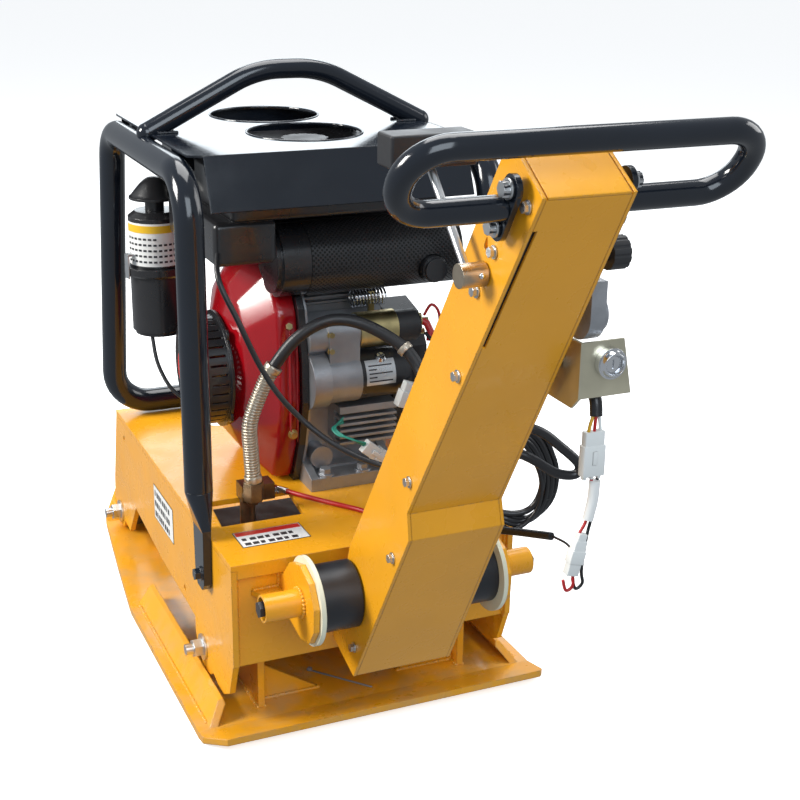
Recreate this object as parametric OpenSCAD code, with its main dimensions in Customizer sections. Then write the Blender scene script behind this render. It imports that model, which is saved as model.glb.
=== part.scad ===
// Reversible plate compactor: sole plate, exciter, sprung-on-rubber deck, diesel engine in a
// tube roll frame, and a folding sheet-steel handle box with its loop.
// Origin: middle of the sole plate, on the ground. +X is the operator's right, +Y is forward
// travel, +Z is up. The handle is at -Y. All sizes are millimetres.

/* [Sole plate] */
// Half the width of the sole plate
plate_hw = 250; // [240:1:260]
// Thickness of the sole plate
plate_t = 10; // [8:0.5:12]

/* [Deck] */
// Half the width over the deck's side cheeks
deck_hw = 205; // [203:0.5:206]
// Height of the deck's top face
deck_z = 256; // [254:0.5:257]

/* [Roll frame] */
// Radius of the roll frame tube
frame_r = 19; // [17:0.5:19]
// Height of the top rails' centre line
rail_z = 738; // [734:1:738]

/* [Handle] */
// Radius of the hand loop tube
loop_r = 13; // [12:0.5:14]
// Half the width of the hand loop, on its centre line
loop_hw = 184.5; // [180:0.5:190]

/* [Engine] */
// Radius of the starter motor
starter_r = 37; // [34:0.5:37.5]
// Radius of the muffler's perforated shield
muffler_r = 52; // [50:0.5:53]

/* [Hidden] */
// handle pivot and the lean of the handle box from vertical
pv = [-413, 228];
lean = 32.13;
// corners of the handle box seen from the side, as [y, z]
top_rear = [-829.5, 815.8];
kink_a = [-568.8, 400.7];
kink_b = [-576.4, 369.9];
tip = [-424.3, 111.7];
toe = [-349, 132.7];
knee = [-399.3, 286.9];
box_d = 83;
top_front = [top_rear[0] + box_d * cos(lean), top_rear[1] + box_d * sin(lean)];
// the box is narrower at the top: half width at height z
function hw(z) = 50 + (815.8 - z) * 0.0272;
splay = atan(0.0272);
// crank axis and the two exciter shafts, as [y, z]
crank = [-12, 415];
sh_a = [-50, 90];
sh_b = [50, 90];
belt_x = 154;
// rubber mounts, as [y, z]
mounts = [[-196, 67], [302, 72]];
// starter, solenoid and muffler axes, as [y, z]
st = [-128, 420];
so = [-128, 486];
mu = [-105, 593];

// ---- helpers ----
function unit(v) = v / norm(v);
module xcyl(r, x0, x1, y, z, fn = 64) {
    translate([x0, y, z]) rotate([0, 90, 0]) cylinder(r = r, h = x1 - x0, $fn = fn);
}
module seg(a, b, r, fn = 48) {
    d = b - a;
    translate(a) rotate([0, acos(d[2] / norm(d)), atan2(d[1], d[0])])
        cylinder(r = r, h = norm(d), $fn = fn);
}
// a plate standing across X: outline given as [y, z] points
module yz_plate(pts, x0, x1) {
    translate([x0, 0, 0]) rotate([90, 0, 90]) linear_extrude(height = x1 - x0) polygon(pts);
}
module yz_slab(x0, x1) {
    translate([x0, 0, 0]) rotate([90, 0, 90]) linear_extrude(height = x1 - x0) children();
}
// a round line or tube through points; each ring's frame is carried on from the last
function carry(t, i, a) = i >= len(t) ? [] :
    let (b = unit(a - (a * t[i]) * t[i])) concat([b], carry(t, i + 1, b));
module swept(pts, r, sides = 8) {
    n = len(pts);
    t = [for (i = [0 : n - 1]) unit(pts[min(i + 1, n - 1)] - pts[max(i - 1, 0)])];
    s0 = abs(t[0][0]) < 0.8 ? [1, 0, 0] : [0, 1, 0];
    fr = carry(t, 0, s0);
    ring = [for (i = [0 : n - 1]) for (k = [0 : sides - 1]) pts[i] +
        r * (fr[i] * cos(360 * k / sides) + cross(t[i], fr[i]) * sin(360 * k / sides))];
    sidef = [for (i = [0 : n - 2]) for (k = [0 : sides - 1]) let (j = (k + 1) % sides)
        each [[i * sides + k, (i + 1) * sides + j, i * sides + j],
              [i * sides + k, (i + 1) * sides + k, (i + 1) * sides + j]]];
    capa = [for (k = [1 : sides - 2]) [0, k, k + 1]];
    capb = [for (k = [1 : sides - 2]) [(n - 1) * sides, (n - 1) * sides + k + 1,
        (n - 1) * sides + k]];
    polyhedron(points = ring, faces = concat(sidef, capa, capb));
}
// points along corners, each inner corner rounded to radius rads[i] in m steps
function arc_pts(p0, p, p1, rad, m) = let (u = unit(p - p0), v = unit(p1 - p),
    phi = acos(u * v), n = unit(v - (u * v) * u), c = p - u * rad * tan(phi / 2) + n * rad)
    [for (k = [0 : m]) c + rad * (u * sin(phi * k / m) - n * cos(phi * k / m))];
function bent(p, rads, m = 8) = concat([p[0]], [for (i = [1 : len(p) - 2])
    each arc_pts(p[i - 1], p[i], p[i + 1], rads[i], m)], [p[len(p) - 1]]);
// smooth curve through control points: m steps in each span
function cr(p, i, t) = let (n = len(p), a = p[max(i - 1, 0)], b = p[i], c = p[i + 1],
    d = p[min(i + 2, n - 1)]) 0.5 * ((2 * b) + (c - a) * t + (2 * a - 5 * b + 4 * c - d) *
    t * t + (3 * b - a - 3 * c + d) * t * t * t);
function curve(p, m) = concat([for (i = [0 : len(p) - 2]) for (k = [0 : m - 1])
    cr(p, i, k / m)], [p[len(p) - 1]]);

// ---- sole plate and exciter ----
module sole_plate() color([0.90, 0.62, 0.12]) {
    intersection() {
        yz_slab(-plate_hw, plate_hw)
            polygon([[-368, 11], [-318, 0], [80, 0], [200, 12], [330, 34], [385, 84],
                [377, 91], [326, 44.5], [199, 22], [79, plate_t], [-318, plate_t],
                [-368, 21]]);
        translate([0, 0, -10]) linear_extrude(height = 160) polygon([[-plate_hw, -340],
            [-224, -368], [244, -368], [plate_hw, -362], [plate_hw, 60], [226, 335],
            [185, 390], [-185, 390], [-226, 335], [-plate_hw, 60]]);
    }
    // inclined stiffening ribs along both sides
    for (s = [0, 1]) mirror([s, 0, 0]) difference() {
        translate([0, 75, 0]) rotate([90, 0, 0]) linear_extrude(height = 391)
            polygon([[-234, plate_t - 2], [-234, plate_t], [-215, 38], [-208, 40],
                [-206, 33], [-222, plate_t], [-222, plate_t - 2]]);
        translate([-300, -316, plate_t]) rotate([-35, 0, 0]) translate([0, -80, 0])
            cube([200, 80, 90]);
    }
}
module mount_posts() color([0.90, 0.62, 0.12]) {
    for (s = [0, 1]) mirror([s, 0, 0]) {
        difference() {
            yz_plate([[-292, plate_t], [-150, plate_t], [-150, 92], [-170, 108],
                [-292, 108]], -157, -147);
            xcyl(8, -160, -140, mounts[0][0], mounts[0][1]);
        }
        difference() {
            yz_plate([[190, 27], [330, 50.5], [330, 112], [250, 112], [190, 60]], -157, -147);
            xcyl(8, -160, -140, mounts[1][0], mounts[1][1]);
        }
        translate([0, -262, 0]) rotate([90, 0, 0]) linear_extrude(height = 8)
            polygon([[-147, plate_t], [-60, plate_t], [-147, 66]]);
    }
}
module rubber_mounts() color([0.08, 0.08, 0.09]) for (s = [0, 1]) mirror([s, 0, 0])
    for (m = mounts) difference() {
        xcyl(m[0] < 0 ? 34 : 27, -196.7, -157.2, m[0], m[1]);
        xcyl(8, -198, -156, m[0], m[1]);
    }
module mount_studs() color([0.75, 0.75, 0.72]) for (s = [0, 1]) mirror([s, 0, 0])
    for (m = mounts) {
        xcyl(7.9, -232, -136, m[0], m[1], 32);
        xcyl(19, -208.2, -205.2, m[0], m[1], 40);
        xcyl(13.5, -221, -208.2, m[0], m[1], 6);
        xcyl(13.5, -146.8, -137, m[0], m[1], 6);
    }
module exciter_housing() color([0.16, 0.16, 0.17]) difference() {
    union() {
        // hydraulic cylinder that shifts the second shaft for forward and reverse
        xcyl(30, -176, -126, sh_b[0], sh_b[1]);
        xcyl(12, -190, -176, sh_b[0], sh_b[1]);
        difference() {
            translate([-118, -112, plate_t]) cube([236, 224, 138]);
            for (s = [-1, 1]) translate([-119, s * 112, 148]) rotate([45, 0, 0])
                translate([0, -22, -22]) cube([238, 44, 44]);
        }
        for (s = [-1, 1]) for (c = [sh_a, sh_b]) xcyl(42, s > 0 ? 118 : -126,
            s > 0 ? 126 : -118, c[0], c[1]);
        for (s = [-1, 1]) translate([-128, s > 0 ? 112 : -140, plate_t]) cube([256, 28, 14]);
    }
    // the feet follow the sole plate where it starts to rise
    yz_slab(-200, 200) polygon([[79, 0], [79, 10.05], [199, 22.2], [199, 0]]);
    for (c = [sh_a, sh_b]) {
        xcyl(44, -108, 108, c[0], c[1]);
        xcyl(12.05, -130, 130, c[0], c[1]);
    }
    translate([-108, -50, 50]) cube([216, 100, 80]);
    xcyl(20.05, -168, -130, sh_b[0], sh_b[1]);
}
module eccentric(c, x1) {
    xcyl(12, -124, x1, c[0], c[1]);
    intersection() {
        xcyl(40, -60, 60, c[0], c[1]);
        translate([-60, c[0] - 41, c[1] - 41]) cube([120, 82, 41]);
    }
    difference() {
        xcyl(49.7, 84, 100, c[0], c[1]);
        for (a = [0 : 30 : 330]) translate([80, c[0], c[1]]) rotate([a, 0, 0])
            translate([0, 0, 49.7]) rotate([0, 90, 0]) cylinder(r = 2.4, h = 30, $fn = 4);
    }
}
module eccentric_shaft_a() color([0.5, 0.5, 0.52]) {
    difference() {
        intersection() {
            eccentric(sh_a, 172);
            union() {
                xcyl(43.5, -120, 107, sh_a[0], sh_a[1]);
                xcyl(12, -130, 180, sh_a[0], sh_a[1]);
            }
        }
        translate([84 - 1, -1.0, 40]) cube([20, 20, 100]);
    }
    difference() {
        xcyl(52, 140, 168, sh_a[0], sh_a[1]);
        difference() {
            xcyl(60, 146, 162, sh_a[0], sh_a[1]);
            xcyl(43, 140, 168, sh_a[0], sh_a[1]);
        }
    }
}
module eccentric_shaft_b() color([0.5, 0.5, 0.52]) difference() {
    intersection() {
        eccentric(sh_b, 124);
        union() {
            xcyl(43.5, -120, 107, sh_b[0], sh_b[1]);
            xcyl(12, -130, 180, sh_b[0], sh_b[1]);
        }
    }
    translate([84 - 1, -19.0, 40]) cube([20, 20, 100]);
}
module shift_piston() color([0.7, 0.7, 0.72]) {
    xcyl(20, -152, -140, sh_b[0], sh_b[1]);
    xcyl(7, -140, -134, sh_b[0], sh_b[1]);
}

// ---- deck ----
module deck_top() color([0.90, 0.62, 0.12]) difference() {
    union() {
        translate([-deck_hw, -340, deck_z - 8]) cube([2 * deck_hw, 641, 8]);
        translate([-deck_hw + 8.2, -340, deck_z - 20]) cube([2 * deck_hw - 16.4, 6, 13]);
    }
    translate([0, 0, deck_z - 30]) linear_extrude(height = 60) union() {
        polygon([[-179, -216], [-60, -216], [-52, -128], [-171, -128]]);
        polygon([[134, -90], [178, -90], [178, 70], [134, 70]]);
        for (x = [-60, 60]) translate([x, 190]) circle(r = 26, $fn = 48);
    }
}
module deck_cheeks() color([0.90, 0.62, 0.12]) for (s = [0, 1]) mirror([s, 0, 0])
    difference() {
        union() {
            yz_plate([[-340, deck_z - 8.2], [-340, 108], [-150, 96], [30, 104],
                [190, 122], [240, 60], [345, 73], [340, 120], [301, deck_z - 8.2]],
                -deck_hw, -deck_hw + 8);
            xcyl(50, -deck_hw, -deck_hw + 8, -206, 84);
            yz_plate([[-338, 108], [-318, 58], [-290, 42], [-262, 42], [-200, 60],
                [-190, 100]], -deck_hw, -deck_hw + 8);
            xcyl(27, -deck_hw, -deck_hw + 8, 302, 72);
        }
        for (m = mounts) xcyl(8, -220, -190, m[0], m[1]);
        xcyl(4.5, -220, -190, -104, 116);
        xcyl(5.5, -220, -190, -240, 204);
        xcyl(5, -220, -190, 250, 222);
    }
module rear_panel() color([0.85, 0.57, 0.11])
    translate([-deck_hw + 8.2, -331, 104]) cube([2 * deck_hw - 16.4, 8, deck_z - 112.2]);
module handle_ears() color([0.90, 0.62, 0.12]) for (s = [0, 1]) mirror([s, 0, 0])
    difference() {
        union() {
            yz_plate([[-331.2, 235], [-345, 235], [-374, 266], [-413, 279], [-446, 268], [-464, 240],
                [-462, 208], [-444, 184], [-413, 176], [-380, 182], [-331.2, 190]],
                -137.3, -129.3);
            xcyl(18, -188, -137.3, pv[0], pv[1]);
            translate([0, 0, 206]) linear_extrude(height = 7)
                polygon([[-137.3, -331.2], [-137.3, -398], [-176, -331.2]]);
        }
        xcyl(10.05, -189, -120, pv[0], pv[1]);
        xcyl(15, -189, -178, pv[0], pv[1]);
    }
module pivot_bolts() color([0.2, 0.2, 0.21]) for (s = [0, 1]) mirror([s, 0, 0]) {
    xcyl(10, -178, -56, pv[0], pv[1], 48);
    xcyl(11, -193, -178, pv[0], pv[1], 6);
}
module nylon_discs() color([0.87, 0.87, 0.72]) for (s = [0, 1]) mirror([s, 0, 0])
    difference() {
        xcyl(58, -129, -123, pv[0], pv[1]);
        xcyl(10.3, -130, -122, pv[0], pv[1]);
    }

// ---- roll frame, canopy, tank ----
rear_y = -225;
fx = 212;
module roll_frame() color([0.06, 0.07, 0.09]) swept(bent([[-fx, rear_y, 320],
    [-fx, rear_y, rail_z], [-fx, 186, rail_z], [-fx, 272, 277], [fx, 272, 277],
    [fx, 186, rail_z], [fx, rear_y, rail_z], [fx, rear_y, 320]],
    [0, 62, 52, 62, 62, 52, 62, 0]), frame_r, 24);
// the legs' flattened lower ends, each bolted to a cheek
module frame_feet() color([0.06, 0.07, 0.09]) for (s = [0, 1]) mirror([s, 0, 0]) {
    difference() {
        union() {
            hull() {
                translate([-fx, rear_y, 317.8]) cylinder(r = frame_r, h = 2, $fn = 32);
                translate([-217, rear_y - 30, 268]) cube([11.5, 46, 2]);
            }
            translate([-217, -261, 0]) rotate([90, 0, 90]) linear_extrude(height = 11.5)
                polygon([[6, 269], [52, 269], [49, 190], [40, 180], [18, 180], [9, 190]]);
        }
        xcyl(5.5, -230, -200, -240, 204);
    }
    xcyl(5.4, -220, -190, -240, 204, 32);
    xcyl(10, -219, -217, -240, 204, 32);
    xcyl(8.5, -227, -219, -240, 204, 6);
}
module lifting_bow() color([0.06, 0.07, 0.09]) swept(bent([[-179, 0, 773.4],
    [-47, 0, 840.5], [47, 0, 840.5], [179, 0, 773.4]], [0, 70, 70, 0], 8), 14, 20);
module canopy() color([0.10, 0.12, 0.15]) difference() {
    union() {
        intersection() {
            yz_slab(-202, 202) polygon([[-228, 691], [-199, 757.1], [209, 757.1], [209, 718],
                [212, 718], [212, 760.1], [-201, 760.1], [-231, 692.5]]);
            translate([0, 0, 680]) linear_extrude(height = 90) polygon([[-184, -240],
                [184, -240], [184, -199], [202, -190], [202, 196], [188, 213], [-188, 213],
                [-202, 196], [-202, -190], [-184, -199]]);
        }
        for (s = [0, 1]) mirror([s, 0, 0]) for (y = [-120, 110])
            translate([-192.8, y, 727]) cube([20, 40, 32]);
    }
    for (y = [-57, 120]) translate([4, y, 740]) cylinder(r = 81, h = 40, $fn = 96);
}
module fuel_tank() color([0.09, 0.08, 0.08]) difference() {
    union() {
        translate([-142, -176, 662]) cube([310, 350, 66]);
        translate([-134, -60, 634]) cube([60, 136, 28]);
        translate([4, -57, 728]) cylinder(r = 30, h = 8, $fn = 48);
    }
    for (x = [-142, 168]) for (t = [-1, 1]) translate([x, t * 175 - 1, 650])
        rotate([0, 0, 45]) translate([-18, -18, 0]) cube([36, 36, 90]);
    for (s = [-1, 1]) translate([0, -1 + s * 175, 662]) rotate([45, 0, 0])
        translate([-170, -10, -10]) cube([340, 20, 20]);
}
module fuel_cap() color([0.05, 0.05, 0.06]) difference() {
    translate([4, -57, 736.3]) cylinder(r = 33, h = 16, $fn = 64);
    for (a = [0 : 30 : 330]) translate([4, -57, 736]) rotate([0, 0, a]) translate([34.5, 0, 0])
        cylinder(r = 4, h = 20, $fn = 16);
}

// ---- engine ----
module crankcase() color([0.55, 0.56, 0.57]) difference() {
    union() {
        yz_plate([[-88, deck_z + 20], [88, deck_z + 20], [96, 330], [96, 480], [60, 500],
            [-60, 500], [-90, 470], [-90, 330]], -10, 118);
        translate([-24, -150, deck_z]) cube([142, 40, 19]);
        translate([-24, -112, deck_z]) cube([142, 224, 22]);
        yz_plate([[-150, deck_z + 18.9], [-110, deck_z + 18.9], [-88, deck_z + 42]], -24, -12);
        yz_plate([[-150, deck_z + 18.9], [-110, deck_z + 18.9], [-88, deck_z + 42]], 100, 112);
        xcyl(46, 112, 126, crank[0], crank[1]);
        translate([90, -70, 484]) rotate([90, 0, 0]) cylinder(r = 7, h = 22.2, $fn = 32);
        // oil filler and drain bosses
        translate([2, -90, 297]) rotate([90, 0, 0]) cylinder(r = 14, h = 26, $fn = 40);
        translate([2, -116, 297]) rotate([90, 0, 0]) cylinder(r = 17, h = 8, $fn = 24);
        for (x = [2, 60, 104]) translate([x, -138, deck_z + 18]) {
            cylinder(r = 12, h = 4, $fn = 32);
            translate([0, 0, 4]) cylinder(r = 9, h = 8, $fn = 6);
        }
    }
    xcyl(18.05, -30, 130, crank[0], crank[1]);
}
module cylinder_head() color([0.50, 0.51, 0.52]) {
    translate([0, -62, 500.2]) cube([104, 124, 10]);
    for (i = [0 : 4]) translate([-4, -66, 512 + i * 8]) cube([112, 132, 3.6]);
    translate([6, -56, 510]) cube([92, 112, 44]);
    translate([10, -50, 553.9]) cube([84, 100, 22]);
    for (y = [-38, 38]) translate([52, y, 575.8]) cylinder(r = 7, h = 9, $fn = 6);
    translate([52, 0, 575.8]) cylinder(r = 15, h = 12, $fn = 40);
}
hous = [[-92, 262], [-120, 322], [-138, 392], [-136, 446], [-122, 520], [-84, 572],
    [-34, 600], [34, 600], [84, 566], [112, 500], [122, 420], [108, 330], [82, 262]];
module blower_housing() color([0.62, 0.05, 0.07]) difference() {
    union() {
        yz_plate(hous, -104, -34.2);
        translate([-104, 0, 0]) mirror([1, 0, 0]) rotate([90, 0, 90]) linear_extrude(height = 14)
            polygon([[-58, 284], [-86, 350], [-98, 420], [-86, 500], [-56, 552], [-26, 576],
                [26, 576], [70, 546], [92, 490], [98, 420], [86, 346], [62, 284]]);
    }
    xcyl(96, -96, -34, crank[0], crank[1]);
    xcyl(78, -120, -90, crank[0], crank[1]);
    xcyl(muffler_r + 1, -71, -30, mu[0], mu[1]);
}
module shroud_plate() color([0.07, 0.07, 0.08]) difference() {
    yz_plate([[-98, 257], [-126, 322], [-145, 392], [-143, 450], [-128, 526], [-88, 580],
        [-34, 606], [36, 606], [90, 572], [118, 504], [128, 420], [114, 326], [90, 257]],
        -34, -24.2);
    xcyl(22, -40, -20, crank[0], crank[1]);
    xcyl(muffler_r + 1, -40, -20, mu[0], mu[1]);
}
module recoil_starter() color([0.06, 0.06, 0.07]) difference() {
    union() {
        xcyl(86, -122, -118.2, crank[0], crank[1], 96);
        xcyl(80, -160, -122, crank[0], crank[1], 96);
        xcyl(40, -168, -160, crank[0], crank[1], 96);
        for (a = [40 : 90 : 310]) translate([-122, crank[0], crank[1]]) rotate([a, 0, 0])
            translate([0, 0, 84]) rotate([0, 90, 0]) cylinder(r = 9, h = 3.8, $fn = 24);
    }
    xcyl(74, -155, -110, crank[0], crank[1], 96);
    for (a = [0 : 10 : 350]) translate([-170, crank[0], crank[1]]) rotate([a, 0, 0])
        translate([0, -1.6, 46]) cube([20, 3.2, 20]);
    for (a = [0 : 10 : 350]) translate([-150, crank[0], crank[1]]) rotate([a, 0, 0])
        translate([0, -1.6, 70]) cube([24, 3.2, 20]);
}
module crank_pulley() color([0.35, 0.35, 0.37]) {
    xcyl(18, -90, 176, crank[0], crank[1]);
    difference() {
        union() {
            xcyl(92, -90, -62, crank[0], crank[1], 96);
            xcyl(60, -112, -90, crank[0], crank[1]);
        }
        for (a = [0 : 20 : 340]) translate([-78, crank[0], crank[1]]) rotate([a, 0, 0])
            translate([-13, -5, 66]) cube([30, 10, 40]);
    }
    difference() {
        xcyl(60, 136, 172, crank[0], crank[1], 96);
        difference() {
            xcyl(66, 146, 162, crank[0], crank[1]);
            xcyl(50, 136, 172, crank[0], crank[1]);
        }
    }
}
// the belt runs round the two pulleys as tangent lines to both grooves
module drive_belt() {
    ra = 43.3;
    rb = 50.3;
    d = [crank[0] - sh_a[0], crank[1] - sh_a[1]];
    L = norm(d);
    th = atan2(d[1], d[0]);
    al = asin((rb - ra) / L);
    function pt(c, r, a) = [c[0] + r * cos(a), c[1] + r * sin(a)];
    module outline(g) polygon(concat(
        [for (a = [th + 90 + al : 6 : th + 270 - al]) pt(sh_a, ra + g, a)],
        [pt(sh_a, ra + g, th + 270 - al)],
        [for (a = [th - 90 - al : 6 : th + 90 + al]) pt(crank, rb + g, a)],
        [pt(crank, rb + g, th + 90 + al)]));
    color([0.05, 0.05, 0.05]) yz_slab(belt_x - 6.5, belt_x + 6.5) difference() {
        outline(8);
        outline(0);
    }
}
module belt_guard() color([0.07, 0.07, 0.08]) difference() {
    yz_plate([[-92, deck_z], [-92, 440], [-60, 484], [-12, 496], [40, 480], [68, 440],
        [68, deck_z]], 130, 182);
    yz_plate([[-88, deck_z - 1], [-88, 438.5], [-57.5, 480.5], [-12, 492], [37.5, 476.5],
        [64, 438.5], [64, deck_z - 1]], 126, 178);
    for (i = [0 : 5]) translate([170, -66, 300 + i * 26]) cube([20, 108, 8]);
}
module starter_nose() color([0.60, 0.60, 0.60]) difference() {
    union() {
        xcyl(42, -24, 2, st[0], st[1]);
        xcyl(37, 2, 50, st[0], st[1]);
        xcyl(24, 4, 52, so[0], so[1]);
        translate([4, st[0] - 24, st[1]]) cube([46, 48, so[1] - st[1]]);
        xcyl(20, -24, 4, st[0] - 2, so[1] - 6);
    }
    translate([-30, -90.2, 300]) cube([160, 80, 300]);
    translate([22, st[0] - 60, st[1] + 33]) cube([20, 30, 12]);
}
module starter_motor() color([0.05, 0.05, 0.06]) {
    xcyl(starter_r - 1, 50.2, 124, st[0], st[1]);
    xcyl(starter_r - 4, 124, 127, st[0], st[1]);
    xcyl(12, 127, 128, st[0], st[1], 40);
    for (a = [140, 320]) translate([124, st[0], st[1]]) rotate([a, 0, 0])
        translate([0, 0, 24]) rotate([0, 90, 0]) cylinder(r = 5, h = 5, $fn = 6);
}
module starter_solenoid() color([0.72, 0.62, 0.32]) {
    xcyl(26, 52.2, 110, so[0], so[1]);
    xcyl(22, 110, 144, so[0], so[1]);
    for (t = [[-12, 8], [12, 8], [0, -12]]) xcyl(4.2, 144, 160, so[0] + t[0], so[1] + t[1], 24);
}
module regulator() color([0.45, 0.47, 0.49]) difference() {
    translate([24, -140, 318]) cube([89, 49.8, 58]);
    // cooling fins on the rear face, under a flat top
    for (i = [0 : 4]) translate([23, -141, 322 + i * 9.5]) cube([91, 24, 5.5]);
}
module governor_lever() color([0.70, 0.62, 0.35]) {
    translate([90, -92.5, 484]) rotate([90, 0, 0]) cylinder(r = 9, h = 4, $fn = 40);
    translate([85.5, -96.5, 484]) cube([9, 4, 48]);
}
module muffler_body() color([0.05, 0.05, 0.055]) {
    xcyl(muffler_r - 1, -62, -22, mu[0], mu[1], 96);
    xcyl(muffler_r - 7, -69, -62, mu[0], mu[1], 96);
    xcyl(muffler_r - 6, -22, 204, mu[0], mu[1], 96);
    translate([40, -62, 585]) cube([40, 22, 30]);
    // outlet stub points back and down
    translate([158, mu[0], 575]) rotate([90, 0, 0]) cylinder(r = 19, h = 62, $fn = 64);
    translate([158, mu[0] - 62, 575]) rotate([90, 0, 0]) cylinder(r = 16.5, h = 6, $fn = 64);
}
module muffler_shield() color([0.05, 0.05, 0.055]) difference() {
    xcyl(muffler_r, -21.8, 206, mu[0], mu[1], 96);
    xcyl(muffler_r - 1.6, -23, 204.2, mu[0], mu[1], 96);
    translate([158, mu[0] + 1, 575]) rotate([90, 0, 0]) cylinder(r = 20, h = 80, $fn = 64);
    translate([-40, mu[0] + 30, mu[1] - 60]) cube([260, 60, 120]);
}

// ---- air cleaner ----
ac = [-169, 120];
module air_cleaner_bowl() color([0.05, 0.05, 0.06]) {
    translate([ac[0], ac[1], 441]) cylinder(r = 36, h = 6, $fn = 64);
    translate([ac[0], ac[1], 447]) cylinder(r = 40, h = 85, $fn = 64);
    translate([ac[0], ac[1], 532]) cylinder(r1 = 45, r2 = 49, h = 4, $fn = 64);
    translate([ac[0], ac[1], 536]) cylinder(r = 49, h = 10, $fn = 64);
}
module air_cleaner_body() color([0.05, 0.05, 0.06]) {
    translate([ac[0], ac[1], 546.2]) cylinder(r = 40, h = 73.8, $fn = 64);
    translate([ac[0], ac[1], 620]) cylinder(r1 = 40, r2 = 30, h = 8, $fn = 64);
    translate([ac[0], ac[1], 628]) cylinder(r = 14, h = 17.2, $fn = 48);
    translate([ac[0] + 28, ac[1] - 16, 574]) cube([18, 32, 30]);
}
module air_cleaner_cap() color([0.05, 0.05, 0.06]) {
    translate([ac[0], ac[1], 645.4]) cylinder(r = 37, h = 4, $fn = 64);
    translate([ac[0], ac[1], 649.4]) cylinder(r1 = 35, r2 = 22, h = 14, $fn = 64);
    translate([ac[0], ac[1], 663.4]) cylinder(r1 = 22, r2 = 12, h = 10, $fn = 64);
    translate([ac[0], ac[1], 673.4]) cylinder(r1 = 12, r2 = 4, h = 4, $fn = 48);
}
module intake_elbow() color([0.06, 0.06, 0.065]) swept(bent([[-122.8, 120, 589],
    [-30, 120, 589], [30, 90, 545], [30, 66.2, 545]], [0, 30, 12, 0], 5), 15, 16);

// ---- hose and cables that stay with the machine ----
module hose_fitting() color([0.70, 0.60, 0.36]) {
    translate([-128, -150, deck_z]) cube([48, 30, 24]);
    translate([-118, -140, 148.2]) cylinder(r = 11, h = deck_z - 148.2, $fn = 40);
    translate([-118, -168, 268]) rotate([-90, 0, 0]) cylinder(r = 11.5, h = 18, $fn = 6);
    translate([-118, -170, 268]) cylinder(r = 15, h = 27.4, $fn = 6);
}
hose_pts = [[-118, -170, 296.2], [-121, -172, 340], [-122, -174, 385], [-104, -176, 434],
    [-90, -180, 462], [-62, -188, 500], [-28, -196, 523], [4, -206, 528], [38, -226, 518],
    [72, -258, 494], [86, -282, 465], [80, -316, 442], [52, -352, 434], [16, -396, 434],
    [2, -444, 434], [-2, -484, 438], [-4, -524, 446]];
module hydraulic_hose() color([0.05, 0.05, 0.055]) swept(curve(hose_pts, 4), 8.5, 12);
gc_pts = [[-70, -128, 262], [-46, -164, 261], [-16, -204, 260.5], [16, -246, 260],
    [28, -300, 266], [20, -352, 290], [0, -420, 340], [-8, -468, 370]];
module ground_cable() color([0.75, 0.06, 0.06]) {
    swept(curve(gc_pts, 5), 3.4, 8);
    translate([-78, -134, 257.2]) cube([14, 14, 3.5]);
}
tc_pts = [[-150, -150, 640], [-168, -196, 601], [-150, -222, 546], [-127, -236, 488],
    [-104, -250, 446], [-76, -264, 412], [-46, -288, 386], [-16, -316, 370], [14, -352, 364],
    [20, -400, 372], [0, -446, 396], [-20, -484, 416], [-24, -516, 432]];
module throttle_cable() color([0.04, 0.05, 0.08]) swept(curve(tc_pts, 4), 3.8, 8);

// ---- handle box ----
module box_outline() {
    polygon([top_rear, kink_a, kink_b, tip, toe, knee, top_front]);
}
module box_side() {
    // a flat plate, tipped so the box is narrower at the top
    difference() {
        translate([-50, 0, 815.8]) rotate([0, splay, 0]) translate([0, 0, -815.8])
            yz_slab(0, 4) box_outline();
        xcyl(10.4, -90, -30, pv[0], pv[1]);
    }
}
module side_plate_left() color([0.92, 0.64, 0.14]) difference() {
    box_side();
    hull() {
        xcyl(3.6, -70, -30, -724.6, 749, 32);
        xcyl(1.2, -70, -30, -726, 757, 16);
    }
    xcyl(9.6, -80, -30, lv[0], lv[1]);
}
module side_plate_right() color([0.92, 0.64, 0.14]) difference() {
    mirror([1, 0, 0]) box_side();
    xcyl(8, 30, 80, -740, 735);
}
// one rear cover panel between two corners of the outline; w0 and w1 are half widths
module cover_panel(a, b, g0, g1) {
    d = b - a;
    L = norm(d);
    w0 = hw(a[1]) - 4.4;
    w1 = hw(b[1]) - 4.4;
    translate([0, a[0], a[1]]) rotate([atan2(d[1], d[0]), 0, 0]) translate([0, g0, -3])
        linear_extrude(height = 3)
        polygon([[-w0, 0], [w0, 0], [w1, L - g0 - g1], [-w1, L - g0 - g1]]);
}
module rear_cover() color([0.68, 0.47, 0.10]) difference() {
    union() {
        cover_panel(tip, kink_b, 1.5, 0);
        cover_panel(kink_b, kink_a, 0, 0);
        cover_panel(kink_a, top_rear, 0, 3.2);
    }
    // the narrow slot along the left edge
    translate([0, top_rear[0], top_rear[1]]) rotate([lean, 0, 0]) rotate([90, 0, 0])
        linear_extrude(height = 24, center = true)
        polygon([[-48, -42], [-41.8, -42], [-46.6, -204], [-54, -204]]);
}
module head_block() color([0.92, 0.64, 0.14]) {
    // top closing sheet and two cross tubes that tie the side plates together
    translate([0, top_rear[0], top_rear[1]]) rotate([lean, 0, 0])
        translate([-44.2, 0, -3]) cube([88.4, box_d, 3]);
    xcyl(9, -hw(640) + 5.2, hw(640) - 5.2, -650, 640, 40);
    xcyl(12, -hw(330) + 5.2, hw(330) - 5.2, -450, 330, 40);
}
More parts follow.
